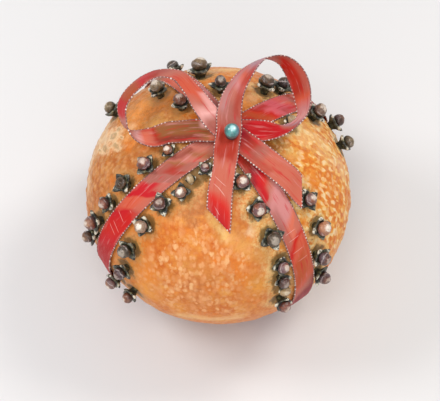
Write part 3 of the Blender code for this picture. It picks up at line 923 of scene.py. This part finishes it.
def quarter_masks(tree, place):
    """How far a spot lies in the right, left and front quarters between the ribbons."""
    split = tree.add("ShaderNodeSeparateXYZ", {0: place})
    degrees = tree.math("ARCTAN2", split["X"], split["Y"] * -1.0) * (180.0 / math.pi)
    right = degrees.fade(30.0, 48.0) * degrees.fade(118.0, 140.0, 1.0, 0.0)
    left = degrees.fade(-50.0, -68.0) * degrees.fade(-160.0, -135.0)
    return right, left, 1.0 - tree.math("MAXIMUM", right, left)


def peel_tree(material):
    """The orange, drawn as a cube blown up to the fruit, then dented by its pores and by the cloves."""
    tree, given, result = new_shape_tree("orange_peel", radii="Vector", middle="Vector", divisions="Int")
    sides = {f"Vertices {axis}": given["Divisions"] for axis in "XYZ"}
    cube = tree.add("GeometryNodeMeshCube", {"Size": (2.0, 2.0, 2.0), **sides})["Mesh"]
    place = tree.add("GeometryNodeInputPosition")[0]
    even = tree.vector("TANGENT", place * (math.pi / 4.0))
    ball = tree.vector("NORMALIZE", even) * given["Radii"] + given["Middle"]
    fruit = tree.add("GeometryNodeSetPosition", {"Geometry": cube, "Position": ball})[0]
    from_middle = place - given["Middle"]
    outward = tree.vector("NORMALIZE", from_middle / (given["Radii"] * given["Radii"]))
    broad = tree.noise(place, 0.075, 2.0)["Fac"]
    lumps = tree.noise(place, 0.24, 2.0)["Fac"]
    height = (broad - 0.62) * 1.1 + (lumps - 0.55) * 0.5
    pit = tree.cells(place, 1.0 / PIT_SPACING)["Distance"].fade(0.42, 0.05)
    height = height - pit * 0.13
    away = tree.add("GeometryNodeProximity", {0: given["Geometry"]}, target_element="POINTS")["Distance"]
    height = height - away.fade(1.3, 3.6, 1.0, 0.0) * 0.55
    right, left, _ = quarter_masks(tree, place)
    domes = tree.cells(place, 1.0 / DOME_SPACING, 0.9)["Distance"].fade(0.62, 0.1)
    studded = tree.math("MAXIMUM", right, left) * 0.75 + 0.25
    height = height + domes * studded * 0.26 - 0.1
    marked = stored(tree, stored(tree, fruit, "pit", pit), "clove_distance", away)
    lift = tree.scaled(outward, tree.math("MINIMUM", height, HIGHEST_DOME))
    puckered = tree.add("GeometryNodeSetPosition", {"Geometry": marked, "Offset": lift})[0]
    tree.feed(result, painted(tree, smoothed(tree, puckered), material))
    return tree


def add_peel(cloves):
    spots = bpy.data.meshes.new("clove_spots")
    spots.from_pydata(cloves, [], [])
    sizes = {"radii": RADII, "middle": MIDDLE, "divisions": PEEL_DIVISIONS}
    hand_over(shaped("peel", peel_tree(peel_finish()), spots, **sizes), "peel", "orange")


def speckles(tree, place, spacing, share, soft=0.12):
    """Rounded spots on a share of the cells of a loose grid."""
    wobble = tree.noise(place, 1.2 / spacing, 2.0)["Color"]
    cell = tree.cells(place + tree.scaled(wobble, spacing * 0.8), 1.0 / spacing)
    chosen = tree.add("ShaderNodeSeparateColor", {0: cell["Color"]})
    room = chosen["Green"] * 0.26 + 0.24
    spot = (cell["Distance"] - room).fade(soft, -soft)
    return spot * tree.math("LESS_THAN", chosen["Red"], share)


def dabs(tree, place, stretch, spacing):
    """Short soft dabs, each with its own value between 0 and 1."""
    shifted = place + tree.scaled(tree.noise(place, 0.6, 2.0)["Color"], 0.9)
    inputs = {"Vector": shifted * stretch, "Scale": 1.0 / spacing, "Smoothness": 0.6}
    cell = tree.add("ShaderNodeTexVoronoi", inputs, feature="SMOOTH_F1")
    return tree.add("ShaderNodeSeparateColor", {0: cell["Color"]})["Red"]


def patched(tree, place, ragged, blotchy, colour):
    """Lays the stains, lighter patches, painted light and painted shade over the colour of the peel, with
    ragged edges and blotchy inside.
    """

    def laid_over(away, radius, tint, share):
        cover = away.fade(radius * 1.2, radius * 0.2, 0.0, share)
        return tree.mix(cover * blotchy, colour, tint)

    for middle, radius, tint, share in PEEL_PATCHES:
        away = place.distance(middle) + ragged * (radius * 1.8)
        colour = laid_over(away, radius, tint, share)
    for start, end, radius, tint, share in PEEL_STREAKS:
        run = Vector(end) - Vector(start)
        reached = (place - start).dot(run / run.length_squared).fade(0.0, 1.0, smooth=False)
        away = place.distance(tree.scaled(run, reached) + start) + ragged * (radius * 2.0)
        colour = laid_over(away, radius, tint, share)
    return colour


def ringed(tree, place, ragged, colour):
    """Large pores on the upper left, each a dark ring with a pale rim."""
    for middle, radius in RING_PORES:
        offset = place - middle
        down = tree.scaled(PORE_SLOPE, offset.dot(PORE_SLOPE))
        away = tree.vector("LENGTH", offset - down * 0.6) / radius + ragged * 3.0
        colour = tree.mix(away.fade(2.6, 1.4, 0.0, 0.6), colour, CREAM)
        colour = tree.mix(away.fade(1.4, 0.7, 0.0, 0.55), colour, OLIVE)
        colour = tree.mix(away.fade(0.65, 0.25, 0.0, 0.5), colour, PEACH)
    return colour


def peel_finish():
    """Orange peel: dabbed on the right, flecked in front, plainer and browner on the left, with painted light
    and painted shade: paler on the right, browner on the left, shaded round the cloves and under the bow, and
    painted rim light on the limbs.
    """
    material, tree, shader = finish_of("orange_peel", {
        "Specular IOR Level": 0.28,
        "Sheen Weight": 0.22,
        "Sheen Roughness": 0.25,
        "Sheen Tint": (0.95, 0.85, 0.66, 1.0),
    })
    place = tree.place()
    right, left, front = quarter_masks(tree, place)
    broad = tree.noise(place, 0.11, 3.0, 0.6)["Fac"]
    middling = tree.noise(place, 0.42, 3.0, 0.65)["Fac"]
    fine = tree.noise(place, 1.6, 3.0, 0.6)["Fac"]
    ragged = middling - 0.5
    tone = broad * 0.45 + middling * 0.55
    # Painted shade: the left quarter is painted browner.
    colour = tree.mix(left * 0.85, tone.ramp(ORANGE_TONES), tone.ramp(BROWN_TONES))
    # Painted light mixed with the peel's mottling: pale cream dabs over the right quarter.
    dabbed = dabs(tree, place, (0.75, 1.2, 0.6), 1.2) + ragged * 0.9
    colour = tree.mix(tree.math("MAXIMUM", right * 0.8, left * 0.12), colour, dabbed.ramp(DAB_COLOURS))
    glow = tree.noise(place + (40.0, 0.0, 0.0), 0.13, 2.0, 0.6)["Fac"]
    colour = tree.mix(glow.fade(0.52, 0.68, 0.0, 0.65), colour, GLOWING)
    frayed = ragged + (fine - 0.5) * 0.6
    colour = patched(tree, place, frayed, fine.fade(0.32, 0.60, 0.6, 1.0), colour)
    colour = ringed(tree, place, frayed, colour)
    dimpled = speckles(tree, place, 1.7, 0.6, 0.3) * (left * 0.55)
    colour = tree.mix(dimpled, colour, LEFT_SPECKLE)
    gathered = (place.distance(FRONT_FLECKS) + ragged * 16.0).fade(20.0, 9.0, 0.25, 1.0)
    slanted = place * (1.2, 0.85, 0.72)
    for spacing, share, soft, tint in FLECKS:
        fleck = speckles(tree, slanted, spacing, share, soft) * front
        colour = tree.mix(fleck * gathered, colour, tint)
    # Painted glints: pale dots on the right quarter.
    dots = speckles(tree, place, 1.9, 0.35) * right.fade(0.0, 1.0, 0.25, 0.5)
    colour = tree.mix(dots, colour, PALE_DOT)
    # Painted shade: the pits are darkened.
    colour = tree.mix(tree.kept("pit") * 0.35, colour, PIT_SHADE)
    blotchy = tree.kept("clove_distance") + ragged * 6.0
    # Painted light: a yellow ring round each clove, paler cream towards the right.
    halo = blotchy.fade(5.8, 3.8) * fine.fade(0.30, 0.66)
    across = tree.add("ShaderNodeSeparateXYZ", {0: place})["X"]
    colour = tree.mix(halo * 0.7, colour, tree.mix(across.fade(-12.0, 8.0), LEFT_HALO, RIGHT_HALO))
    # Painted shade round each clove, kept light inside the left loop.
    clove_shade = blotchy.fade(3.8, 2.4) * place.distance(LEFT_LOOP).fade(9.0, 15.0, 0.2, 0.75)
    colour = tree.mix(clove_shade, colour, CLOVE_SHADE_COLOUR)
    tree.feed(shader.inputs["Base Color"], colour)
    tree.feed(shader.inputs["Roughness"], fine.fade(0.3, 0.7, 0.42, 0.6))
    pores = tree.cells(place, 1.0 / PORE_SPACING)["Distance"]
    bumped(tree, shader, pores.fade(0.05, 0.4) + fine * 0.5, 0.12 * MM, 0.6)
    return material


# ---- ribbons ----

PICOT_SPACING = 1.06
PICOT_SIZE = 0.24
THREAD_RADIUS = 0.15
HAIR_SPACING = 2.1
WEAVE_SPACING = 0.3
LIT_THREAD = (0.88, 0.56, 0.50)
PICOT_THREAD = (0.18, 0.075, 0.075)
PICOT_COLOURS = ((0.36, (0.22, 0.10, 0.09)), (0.46, (0.52, 0.31, 0.26)), (0.58, (0.78, 0.65, 0.58)))

# Colours along each arm, in degrees down from the crossing, painted sheen and painted shade of the satin
# among them.
UNDER_STOPS = (
    (5, BRICK), (9, ROSE), (13, ROSE), (16, TAN), (19, ROSE), (22, ROSE), (24, TAN), (26, BRICK), (29, BRICK),
    (31, DUSK), (37, DUSK), (38, CRIMSON), (45, CRIMSON), (46, CORAL), (54, CORAL), (55.5, CRIMSON),
    (69, RED), (77, CRIMSON), (84, DEEP_RED), (93, DEEP_RED), (264, CRIMSON),
    (305, DUSK), (309, MAUVE), (312, TERRACOTTA), (315, BRICK), (320, DUSK), (324, CORAL), (328, PINK),
    (336, PINK), (339, RED), (344, RUST), (349, CRIMSON),
)
OVER_STOPS = (
    (6, RED), (11, BRICK), (15, BRICK), (18, WINE), (22, CRIMSON), (25, RED), (28, ROSE), (32, MAUVE),
    (43, MAUVE), (48, SALMON), (53, SALMON), (55, RED), (57, RED), (58.5, CORAL), (61, CORAL), (65, RUST),
    (76, RUST), (80, CORAL), (86, ROSE), (92, WINE), (180, CRIMSON), (262, RED), (300, TAN), (308, CORAL),
    (322, SALMON), (336, MAUVE), (345, MAUVE), (352, TAN), (360, BRICK),
)
# Colours along the two faces of the bow, by station, painted sheen and painted shade of the satin among them.
BOW_STOPS = (
    (0, DEEP_RED), (0.6, RED), (1.0, TERRACOTTA), (2.1, TERRACOTTA), (2.5, BRICK), (3.8, BRICK), (4.6, DUSK),
    (5.3, DUSK), (6.0, ROSE), (6.4, MAUVE), (6.9, CORAL), (7.5, SILVER), (9, MAUVE), (22, ROSE), (23.2, ROSE),
    (23.5, SCARLET), (24.1, SCARLET), (24.4, RUSSET), (25.1, RUSSET), (25.4, CRIMSON), (26.1, BRICK),
    (26.6, ROSE), (27.5, CORAL), (28.3, CORAL), (28.8, ROSE), (29.4, PALE_PINK), (29.9, DUSK), (31.3, WINE),
    (32.1, BRICK), (32.5, DUSK), (33.0, TERRACOTTA), (35, TERRACOTTA),
)
BOW_BACK_STOPS = (
    (0, BRICK), (7, BRICK), (8.4, MAUVE), (8.7, ROSE), (9.0, RED), (10.6, BRICK), (11.1, CORAL),
    (11.5, MAUVE), (12.1, PALE_PINK), (12.5, SILVER), (12.8, ROSE), (13.1, CRIMSON), (13.9, DEEP_RED),
    (15.2, DEEP_RED), (16.2, BRICK), (16.8, TERRACOTTA), (17.3, OCHRE), (20.4, OCHRE), (20.8, BRICK),
    (21.1, TERRACOTTA), (21.6, SALMON), (22.0, PALE_PINK), (22.6, ROSE), (27, BRICK), (35, BRICK),
)
# Where the cloth shows threads that catch the light: from and to, and their slope across it.
UNDER_HAIRS = (54.0, 74.0, -0.3)
OVER_HAIRS = (48.0, 66.0, 0.1)
BOW_HAIRS = (0.2, 1.6, 0.6)
# Painted sheen and painted shade that keep to one edge: from and to along the cloth, the edge, colour, share,
# and 1 for the back.
UNDER_TINTS = (
    (11, 23, -1, UMBER_RED, 0.7, 0),
    (24, 31, -1, DUSK, 0.7, 0),
    (20, 29, 1, DUSK, 0.9, 0),
    (36, 42, 1, ROSE, 0.9, 0),
    (44, 60, 1, ROSE, 0.5, 0),
    (56, 62, 1, RED, 0.6, 0),
    (318, 329, -1, PINK, 0.5, 0),
    (323, 334, 1, BRICK, 0.5, 0),
    (332, 341, -1, BRICK, 0.7, 0),
)
OVER_TINTS = (
    (22, 29, -1, CRIMSON, 0.9, 0),
    (33, 57, -1, DUSK, 0.6, 0),
    (49, 57, 1, ROSE, 0.6, 0),
    (62, 86, 1, SALMON, 0.4, 0),
    (340, 354, 1, DUSK, 0.7, 0),
)
BOW_TINTS = (
    (4.6, 7.4, -1, ASH_ROSE, 0.7, 0),
    (4.4, 7.8, 1, BRICK, 0.7, 0),
    (8.6, 11.2, 1, ROSE, 0.6, 1),
    (14.0, 15.2, 1, CRIMSON, 0.6, 1),
    (16.0, 17.8, -1, PALE_PINK, 0.9, 1),
    (17.2, 21.2, 1, UMBER_RED, 0.9, 1),
    (28.0, 29.3, -1, PALE_PINK, 0.8, 0),
    (32.2, 33.6, 1, BRICK, 0.5, 0),
)


class Ribbon:
    """Ribbon drawn station by station: its middle, and unit directions across it and out of its face."""

    def __init__(self, name, closed):
        self.name = name
        self.closed = closed
        self.middles = []
        self.acrosses = []
        self.faces = []
        self.pleats = []
        self.slants = {}

    def add(self, middle, across, face, pleat=0.0):
        self.middles.append(middle)
        self.acrosses.append(across)
        self.faces.append(face)
        self.pleats.append(pleat)

    def forward(self, index):
        last = len(self.middles) - 1
        if self.closed:
            return (self.middles[(index + 1) % (last + 1)] - self.middles[index - 1]).normalized()
        return (self.middles[min(index + 1, last)] - self.middles[max(index - 1, 0)]).normalized()

    def spot(self, index, share):
        """Point on the cloth for a share across it, -1 at the back edge and 1 at the front edge."""
        run = self.runs()[index]
        half = CLOTH_WIDTH / 2.0
        crown = CLOTH_CROWN * (1.0 - share * share)
        ripple = CLOTH_RIPPLE * noise.noise(Vector((run * RIPPLE_ALONG, share * RIPPLE_ACROSS, 3.0)))
        pleat = self.pleats[index] * math.cos(share * PLEATS_ACROSS + 0.6 * math.sin(run * 0.5))
        point = self.middles[index] + self.acrosses[index] * half * share
        slant = self.slants.get(index, 0.0) * (share + 1.0) / 2.0
        return point + self.faces[index] * (crown + ripple + pleat) + self.forward(index) * slant

    def runs(self):
        """Length of ribbon up to each station."""
        if not hasattr(self, "lengths"):
            self.lengths = [0.0]
            for first, second in zip(self.middles, self.middles[1:]):
                self.lengths.append(self.lengths[-1] + (second - first).length)
        return self.lengths

    def cloth(self, material):
        """Closed skin round the cloth, with where each point is on the ribbon stored for its colours."""
        count = len(self.middles)
        front = [(1.0 - 2.0 * step / CLOTH_STRIPS, 0.0) for step in range(CLOTH_STRIPS + 1)]
        ring = front + [(share, 1.0) for share, _ in reversed(front)]
        size = len(ring)
        points = []
        for index in range(count):
            for share, back in ring:
                off = self.faces[index] * CLOTH_THICKNESS * (0.5 - back)
                points.append(self.spot(index, share) + off)
        faces = []
        for index in range(count if self.closed else count - 1):
            low = index * size
            high = (index + 1) % count * size
            for step in range(size):
                beside = (step + 1) % size
                faces.append((low + step, low + beside, high + beside, high + step))
        if not self.closed:
            faces.append(tuple(reversed(range(size))))
            faces.append(tuple(range((count - 1) * size, count * size)))
        mesh = bpy.data.meshes.new(self.name)
        mesh.from_pydata(points, [], faces)
        if self.forward(0).cross(self.acrosses[0]).dot(self.faces[0]) < 0.0:
            mesh.flip_normals()
        runs = self.runs()
        whole = count if self.closed else count - 1
        keep_values(mesh, "share", [index / whole for index in range(count) for _ in ring])
        keep_values(mesh, "run", [runs[index] for index in range(count) for _ in ring])
        keep_values(mesh, "aside", [share * CLOTH_WIDTH / 2.0 for share, _ in ring] * count)
        keep_values(mesh, "back", [back for _, back in ring] * count)
        mesh.transform(Matrix.Scale(MM, 4))
        mesh.materials.append(material)
        mesh.shade_smooth()
        mesh.set_sharp_from_angle(angle=math.radians(60.0))
        return placed(self.name, mesh)

    def edging(self, tree):
        """Picots along both edges, and across the ends of an open ribbon."""
        count = len(self.middles)
        reach = 1.0 + EDGE_OFF / CLOTH_WIDTH
        front = [self.spot(index, reach) for index in range(count)]
        back = [self.spot(index, -reach) for index in range(count)]
        if self.closed:
            lines = [(index, (index + 1) % count) for index in range(count)]
            lines += [(count + first, count + second) for first, second in lines]
        else:
            back.reverse()
            lines = [(index, (index + 1) % (2 * count)) for index in range(2 * count)]
        name = f"{self.name}_edging"
        mesh = bpy.data.meshes.new(name)
        mesh.from_pydata(front + back, lines, [])
        return shaped(name, tree, mesh, spacing=PICOT_SPACING, knot_size=PICOT_SIZE, thread=THREAD_RADIUS)


def band(name, first, second, lift):
    """Ribbon round the orange, down one arm and up another, bending a little at the crossings."""
    bend = (ARMS[second] - ARMS[first] - math.pi) / 2.0
    outward, sideways = arm_axes(ARMS[first] + bend)
    ribbon = Ribbon(name, True)
    for step in range(BAND_STEPS):
        turn = math.tau * step / BAND_STEPS
        away = math.sin(turn)
        swing = -bend * away * away / math.sqrt(away * away + BEND_SOFTNESS)
        along = KNOT_UP * math.cos(turn) + outward * away
        direction = (along * math.cos(swing) + sideways * math.sin(swing)).normalized()
        raised = lift * (1.0 - smooth_step((RADII.x * abs(away) - CROSSING_RAISED) / CROSSING_SLOPE))
        point, normal = on_peel(direction, CLOTH_GAP + raised)
        forward = outward * math.cos(turn) - KNOT_UP * away
        across = normal.cross(forward).normalized()
        ribbon.add(point, across, normal)
    return ribbon


def spline_point(before, start, end, after, share):
    """Point on the smooth curve between two stations."""
    square = share * share
    cube = square * share
    return (
        start * 2.0
        + (end - before) * share
        + (before * 2.0 - start * 5.0 + end * 4.0 - after) * square
        + (start * 3.0 - before - end * 3.0 + after) * cube
    ) * 0.5


def smooth_through(points, steps):
    padded = [points[0] * 2.0 - points[1], *points, points[-1] * 2.0 - points[-2]]
    curve = []
    for index in range(1, len(padded) - 2):
        for step in range(steps):
            curve.append(spline_point(*padded[index - 1:index + 3], step / steps))
    curve.append(points[-1].copy())
    return curve


def bow_ribbon():
    middles = smooth_through([from_knot(*middle) for middle, _ in BOW], BOW_STEPS)
    leans = smooth_through([knot_direction(*across).normalized() for _, across in BOW], BOW_STEPS)
    ribbon = Ribbon("bow_cloth", False)
    last = len(middles) - 1
    pin = from_knot(*PIN_PLACE, MID_LAYER)
    for index, (middle, lean) in enumerate(zip(middles, leans)):
        forward = (middles[min(index + 1, last)] - middles[max(index - 1, 0)]).normalized()
        across = (lean - forward * lean.dot(forward)).normalized()
        pleat = PLEAT * (1.0 - smooth_step(((middle - pin).length - PLEAT_FROM) / PLEAT_SLOPE))
        ribbon.add(middle, across, across.cross(forward), pleat)
    for index in range(BOW_STEPS + 1):
        fade = 1.0 - index / (BOW_STEPS + 1)
        ribbon.slants[index] = -TAIL_SLANT * fade
        ribbon.slants[last - index] = TAIL_SLANT * fade
    return ribbon


def picot_tree(knot_material, thread_material):
    """Knots strung along a line, with a thin thread through them."""
    tree, given, result = new_shape_tree("picot_edging", spacing="Float", knot_size="Float", thread="Float")
    line = tree.add("GeometryNodeMeshToCurve", {"Mesh": given["Geometry"]})[0]
    points = tree.add("GeometryNodeCurveToPoints", {"Curve": line, "Length": given["Spacing"]}, mode="LENGTH")
    knot = tree.add("GeometryNodeMeshUVSphere", {"Radius": given["Knot size"], "Segments": 7, "Rings": 5})[0]
    size = tree.add("FunctionNodeRandomValue", {"Min": 0.6, "Max": 1.3, "Seed": 5}, data_type="FLOAT")
    size_value = Wire(tree, next(s for s in size.item.outputs if s.type == "VALUE" and s.enabled))
    turned = {"Scale": size_value, "Rotation": points["Rotation"]}
    knots = laid_on(tree, points["Points"], smoothed(tree, knot), turned)
    rim = tree.add("GeometryNodeCurvePrimitiveCircle", {"Resolution": 5, "Radius": given["Thread"]})[0]
    thread = tree.add("GeometryNodeCurveToMesh", {"Curve": line, "Profile Curve": rim, "Fill Caps": True})[0]
    joined = tree.add("GeometryNodeJoinGeometry")
    for part, material in ((knots, knot_material), (smoothed(tree, thread), thread_material)):
        tree.feed(joined.item.inputs[0], painted(tree, part, material))
    tree.feed(result, joined[0])
    return tree


def even_stops(stops, last):
    return [(station / last, colour) for station, colour in stops]


def hairlines(tree, run, aside, slope):
    """Fine straight threads that catch the light, almost straight across the ribbon."""
    phase = (run + aside * slope) / HAIR_SPACING
    odd = tree.add("ShaderNodeTexWhiteNoise", {"W": tree.math("FLOOR", phase)}, noise_dimensions="1D")
    middle = odd["Value"].fade(0.0, 1.0, 0.25, 0.75, smooth=False)
    off = abs(tree.math("FRACT", phase) - middle)
    reach = abs(aside + (odd["Color"] - 0.5) * 2.4).fade(2.2, 1.2)
    return off.fade(0.07, 0.02) * reach * tree.math("GREATER_THAN", odd["Value"], 0.3)


def tinted(tree, colour, where, aside, back, tints):
    """Lays the painted sheen and painted shade that keep to one edge of the cloth."""
    for first, final, edge, tint, share, face in tints:
        soft = (final - first) * 0.2
        along = where.fade(first, first + soft) * where.fade(final, final - soft)
        beside = (aside * edge).fade(0.1, 2.0, 0.0, share)
        colour = tree.mix(along * beside * (back if face else 1.0 - back), colour, tint)
    return colour


def satin_finish(name, stops, tints, hairs, back_stops=None, last=360.0, wobble=0.02, slant=0.004):
    """Satin whose colour runs along the ribbon in patches of painted sheen and painted shade, with streaks of
    painted sheen along it and fine hairlines of painted glints.
    """
    material, tree, shader = finish_of(name, {"Specular IOR Level": 0.14})
    share, run, aside, back = map(tree.kept, ("share", "run", "aside", "back"))
    cloth = tree.add("ShaderNodeCombineXYZ", {"X": run, "Y": aside})[0]
    uneven = tree.noise(cloth, 0.22, 1.0, 0.4)["Fac"] - 0.5
    along = share + uneven * wobble + aside * slant
    colour = along.ramp(even_stops(stops, last))
    if back_stops:
        colour = tree.mix(back, colour, along.ramp(even_stops(back_stops, last)))
    colour = tinted(tree, colour, along * last, aside, back, tints)
    # Painted sheen and shade: mauve streaks of sheen along the satin, and crimson streaks of shade between
    # them.
    streak = tree.noise(cloth * (0.10, 0.9, 1.0), 1.0, 3.0, 0.6)["Fac"]
    colour = tree.mix(streak.fade(0.55, 0.72, 0.0, 0.55), colour, MAUVE)
    colour = tree.mix(streak.fade(0.46, 0.30, 0.0, 0.7), colour, CRIMSON)
    edge = abs(aside) + uneven * 4.0
    colour = tree.mix(edge.fade(2.4, 3.6, 0.0, 0.35), colour, ROSE)
    first, final, slope = hairs
    within = tree.math("LESS_THAN", share, final / last)
    hair = hairlines(tree, run, aside, slope) * (tree.math("GREATER_THAN", share, first / last) * within)
    colour = tree.mix(hair * 0.45, colour, LIT_THREAD)
    tree.feed(shader.inputs["Base Color"], colour)
    tree.feed(shader.inputs["Roughness"], streak.fade(0.35, 0.65, 0.38, 0.52))
    weave = tree.math("SINE", run * (math.tau / WEAVE_SPACING))
    bumped(tree, shader, streak * 1.2 + weave * 0.12, 0.12 * MM, 0.5)
    return material


def picot_finish():
    """Knots of cream thread, some of them dulled."""
    material, tree, shader = finish_of("picot_knot", {"Roughness": 0.45})
    dulled = tree.noise(tree.place(), 0.45, 3.0, 0.7)["Fac"]
    tree.feed(shader.inputs["Base Color"], dulled.ramp(PICOT_COLOURS))
    return material


def add_ribbons():
    edging = picot_tree(picot_finish(), plain_finish("picot_thread", PICOT_THREAD, 0.6))
    under = satin_finish("satin_lower_band", UNDER_STOPS, UNDER_TINTS, UNDER_HAIRS)
    over = satin_finish("satin_upper_band", OVER_STOPS, OVER_TINTS, OVER_HAIRS)
    looped = satin_finish("satin_bow", BOW_STOPS, BOW_TINTS, BOW_HAIRS, BOW_BACK_STOPS, 35.0, 0.014, 0.0015)
    ribbons = (
        (band("lower_band_cloth", "front_left", "back_right", 0.0), "ribbon_under", under),
        (band("upper_band_cloth", "front_right", "back_left", CROSSING_LIFT), "ribbon_over", over),
        (bow_ribbon(), "bow", looped),
    )
    for ribbon, node, material in ribbons:
        hand_over(ribbon.cloth(material), "ribbon", node)
        hand_over(ribbon.edging(edging), "ribbon_edge")


# ---- pearl pin ----

PEARL_RADIUS = 2.25
PEARL_FOOT = -48.0  # degrees round the pearl, where its collar holds it
PEARL_STEPS = 25
PIN_SIDES = 48
PIN_RADIUS = 0.35
PIN_LENGTH = 22.0
PIN_POINT = 3.0
PEARL_UP = TOP_LAYER + 0.5 + PEARL_RADIUS
# Turned outline of the dark collar under the pearl: radius, height from the pearl's middle.
COLLAR = ((1.55, -2.42), (1.75, -2.25), (1.78, -1.95), (1.6, -1.72))
PEARL_COLOURS = ((0.35, (0.006, 0.080, 0.080)), (0.50, (0.015, 0.16, 0.15)), (0.65, (0.06, 0.29, 0.27)))


def add_pearl():
    """Pin turned in one piece: the shaft, a dark collar and the round pearl."""
    bottom = -PEARL_RADIUS - PIN_LENGTH
    profile = [(0.03, bottom), (PIN_RADIUS, bottom + PIN_POINT), (PIN_RADIUS, -2.5), *COLLAR]
    for step in range(1, PEARL_STEPS):
        angle = math.radians(PEARL_FOOT + (90.0 - PEARL_FOOT) * step / PEARL_STEPS)
        profile.append((PEARL_RADIUS * math.cos(angle), PEARL_RADIUS * math.sin(angle)))
    shape = bmesh.new()
    join_rings(shape, [ring_of(shape, *corner, PIN_SIDES) for corner in profile])
    for face in shape.faces:
        if max(vert.co.z for vert in face.verts) > COLLAR[-1][1] + 0.01:
            face.material_index = 1
    upright = KNOT_UP.to_track_quat("Z", "Y").to_matrix().to_4x4()
    place = Matrix.Translation(from_knot(*PIN_PLACE, PEARL_UP)) @ upright
    bmesh.ops.transform(shape, matrix=Matrix.Scale(MM, 4) @ place, verts=shape.verts)
    mesh = bpy.data.meshes.new("pearl_headed_pin")
    shape.to_mesh(mesh)
    shape.free()
    mesh.materials.append(plain_finish("pin_steel", (0.10, 0.09, 0.09), 0.35, 0.8))
    mesh.materials.append(pearl_finish())
    mesh.shade_smooth()
    mesh.set_sharp_from_angle(angle=math.radians(50.0))
    hand_over(placed("pearl_headed_pin", mesh), "pearl", "pearl_pin")


def pearl_finish():
    """Clouded turquoise, with painted shade that makes its right side bluer and darker, and a painted
    highlight on its crown.
    """
    material, tree, shader = finish_of("turquoise_pearl", {
        "Roughness": 0.34,
        "Specular IOR Level": 1.0,
        "Coat Weight": 1.0,
        "Coat Roughness": 0.26,
    })
    place = tree.place()
    middle = from_knot(*PIN_PLACE, PEARL_UP)
    colour = tree.noise(place, 0.5, 2.0)["Fac"].ramp(PEARL_COLOURS)
    # Painted shade: bluer and darker towards the right side of the pearl.
    aside = (place - middle).dot((1.0, 0.0, 0.0))
    colour = tree.mix(aside.fade(0.5, 1.9, 0.0, 0.6), colour, (0.07, 0.12, 0.20))
    # Painted highlight: a pale spot near the top of the pearl.
    highlight_spot = place.distance(middle + Vector((0.33, -0.2, 0.98 * PEARL_RADIUS)))
    colour = tree.mix(highlight_spot.fade(1.35, 0.5, 0.0, 0.8), colour, (0.50, 0.85, 0.84))
    tree.feed(shader.inputs["Base Color"], colour)
    return material


# ---- setting ----

WHITE = (1.0, 1.0, 1.0)
WARM = (1.0, 0.97, 0.93)
COOL = (0.97, 0.98, 1.0)
# Round soft lights: place and size in metres, power and colour.
LIGHTS = {
    "light_right": ((0.30, 0.14, 0.55), 0.2, 1.25, WARM),
    "light_left": ((-0.36, 0.02, 0.48), 0.2, 1.05, COOL),
    "light_front": ((0.0, -0.6, 0.4), 0.6, 1.1, WHITE),
    "light_high_front": ((-0.06, -0.26, 0.66), 0.24, 1.1, WHITE),
}
FLOOR_REACH = 3.0  # metres
CAMERA_RISE = math.radians(61.5)  # how steeply it looks down at the front
CAMERA_DISTANCE = 800.0
CAMERA_ASIDE = 0.54  # how far it looks to the right of the orange's middle, and below it
CAMERA_BELOW = 1.78
CAMERA_LENS = 216.7
SENSOR_WIDTH = 36.0


def hand_over(piece, slot, *nodes):
    """Gives a piece to the object's one body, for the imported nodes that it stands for."""
    if nodes:
        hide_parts(*nodes)
    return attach(piece, BODY)


def add_studio():
    """Plain pale floor, soft lights and a pale sky."""
    floor = bpy.data.meshes.new("studio_floor")
    corners = [(x * FLOOR_REACH, y * FLOOR_REACH, 0.0) for x, y in ((-1, -1), (1, -1), (1, 1), (-1, 1))]
    floor.from_pydata(corners, [], [(0, 1, 2, 3)])
    floor.materials.append(plain_finish("studio_floor", (0.75, 0.74, 0.73), 0.9))
    item = placed("studio_floor", floor)
    for name, (place, size, power, colour) in LIGHTS.items():
        lamp = bpy.data.lights.new(name, "AREA")
        lamp.shape = "DISK"
        lamp.size = size
        lamp.energy = power
        lamp.color = colour
        item = placed(name, lamp)
        item.location = place
        item.rotation_euler = (MIDDLE * MM - item.location).to_track_quat("-Z", "Y").to_euler()
    world = bpy.data.worlds.new("studio")
    world.use_nodes = True
    sky = world.node_tree.nodes["Background"].inputs
    sky["Color"].default_value = (0.95, 0.96, 1.0, 1.0)
    sky["Strength"].default_value = 0.5
    bpy.context.scene.world = world
    bpy.context.scene.view_settings.view_transform = "Standard"


def add_camera():
    """Looks down at the front of the orange."""
    toward = Vector((0.0, -math.cos(CAMERA_RISE), math.sin(CAMERA_RISE)))
    upward = Vector((0.0, math.sin(CAMERA_RISE), math.cos(CAMERA_RISE)))
    target = MIDDLE + Vector((CAMERA_ASIDE, 0.0, 0.0)) - upward * CAMERA_BELOW
    camera = bpy.data.cameras.new("camera")
    camera.sensor_width = SENSOR_WIDTH
    camera.lens = CAMERA_LENS
    item = placed("camera", camera)
    item.location = (target + toward * CAMERA_DISTANCE) * MM
    item.rotation_euler = toward.to_track_quat("Z", "Y").to_euler()
    bpy.context.scene.camera = item


def main():
    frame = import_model()
    add_peel(add_cloves(frame["nodes"]))
    add_ribbons()
    add_pearl()
    add_studio()
    add_camera()


main()
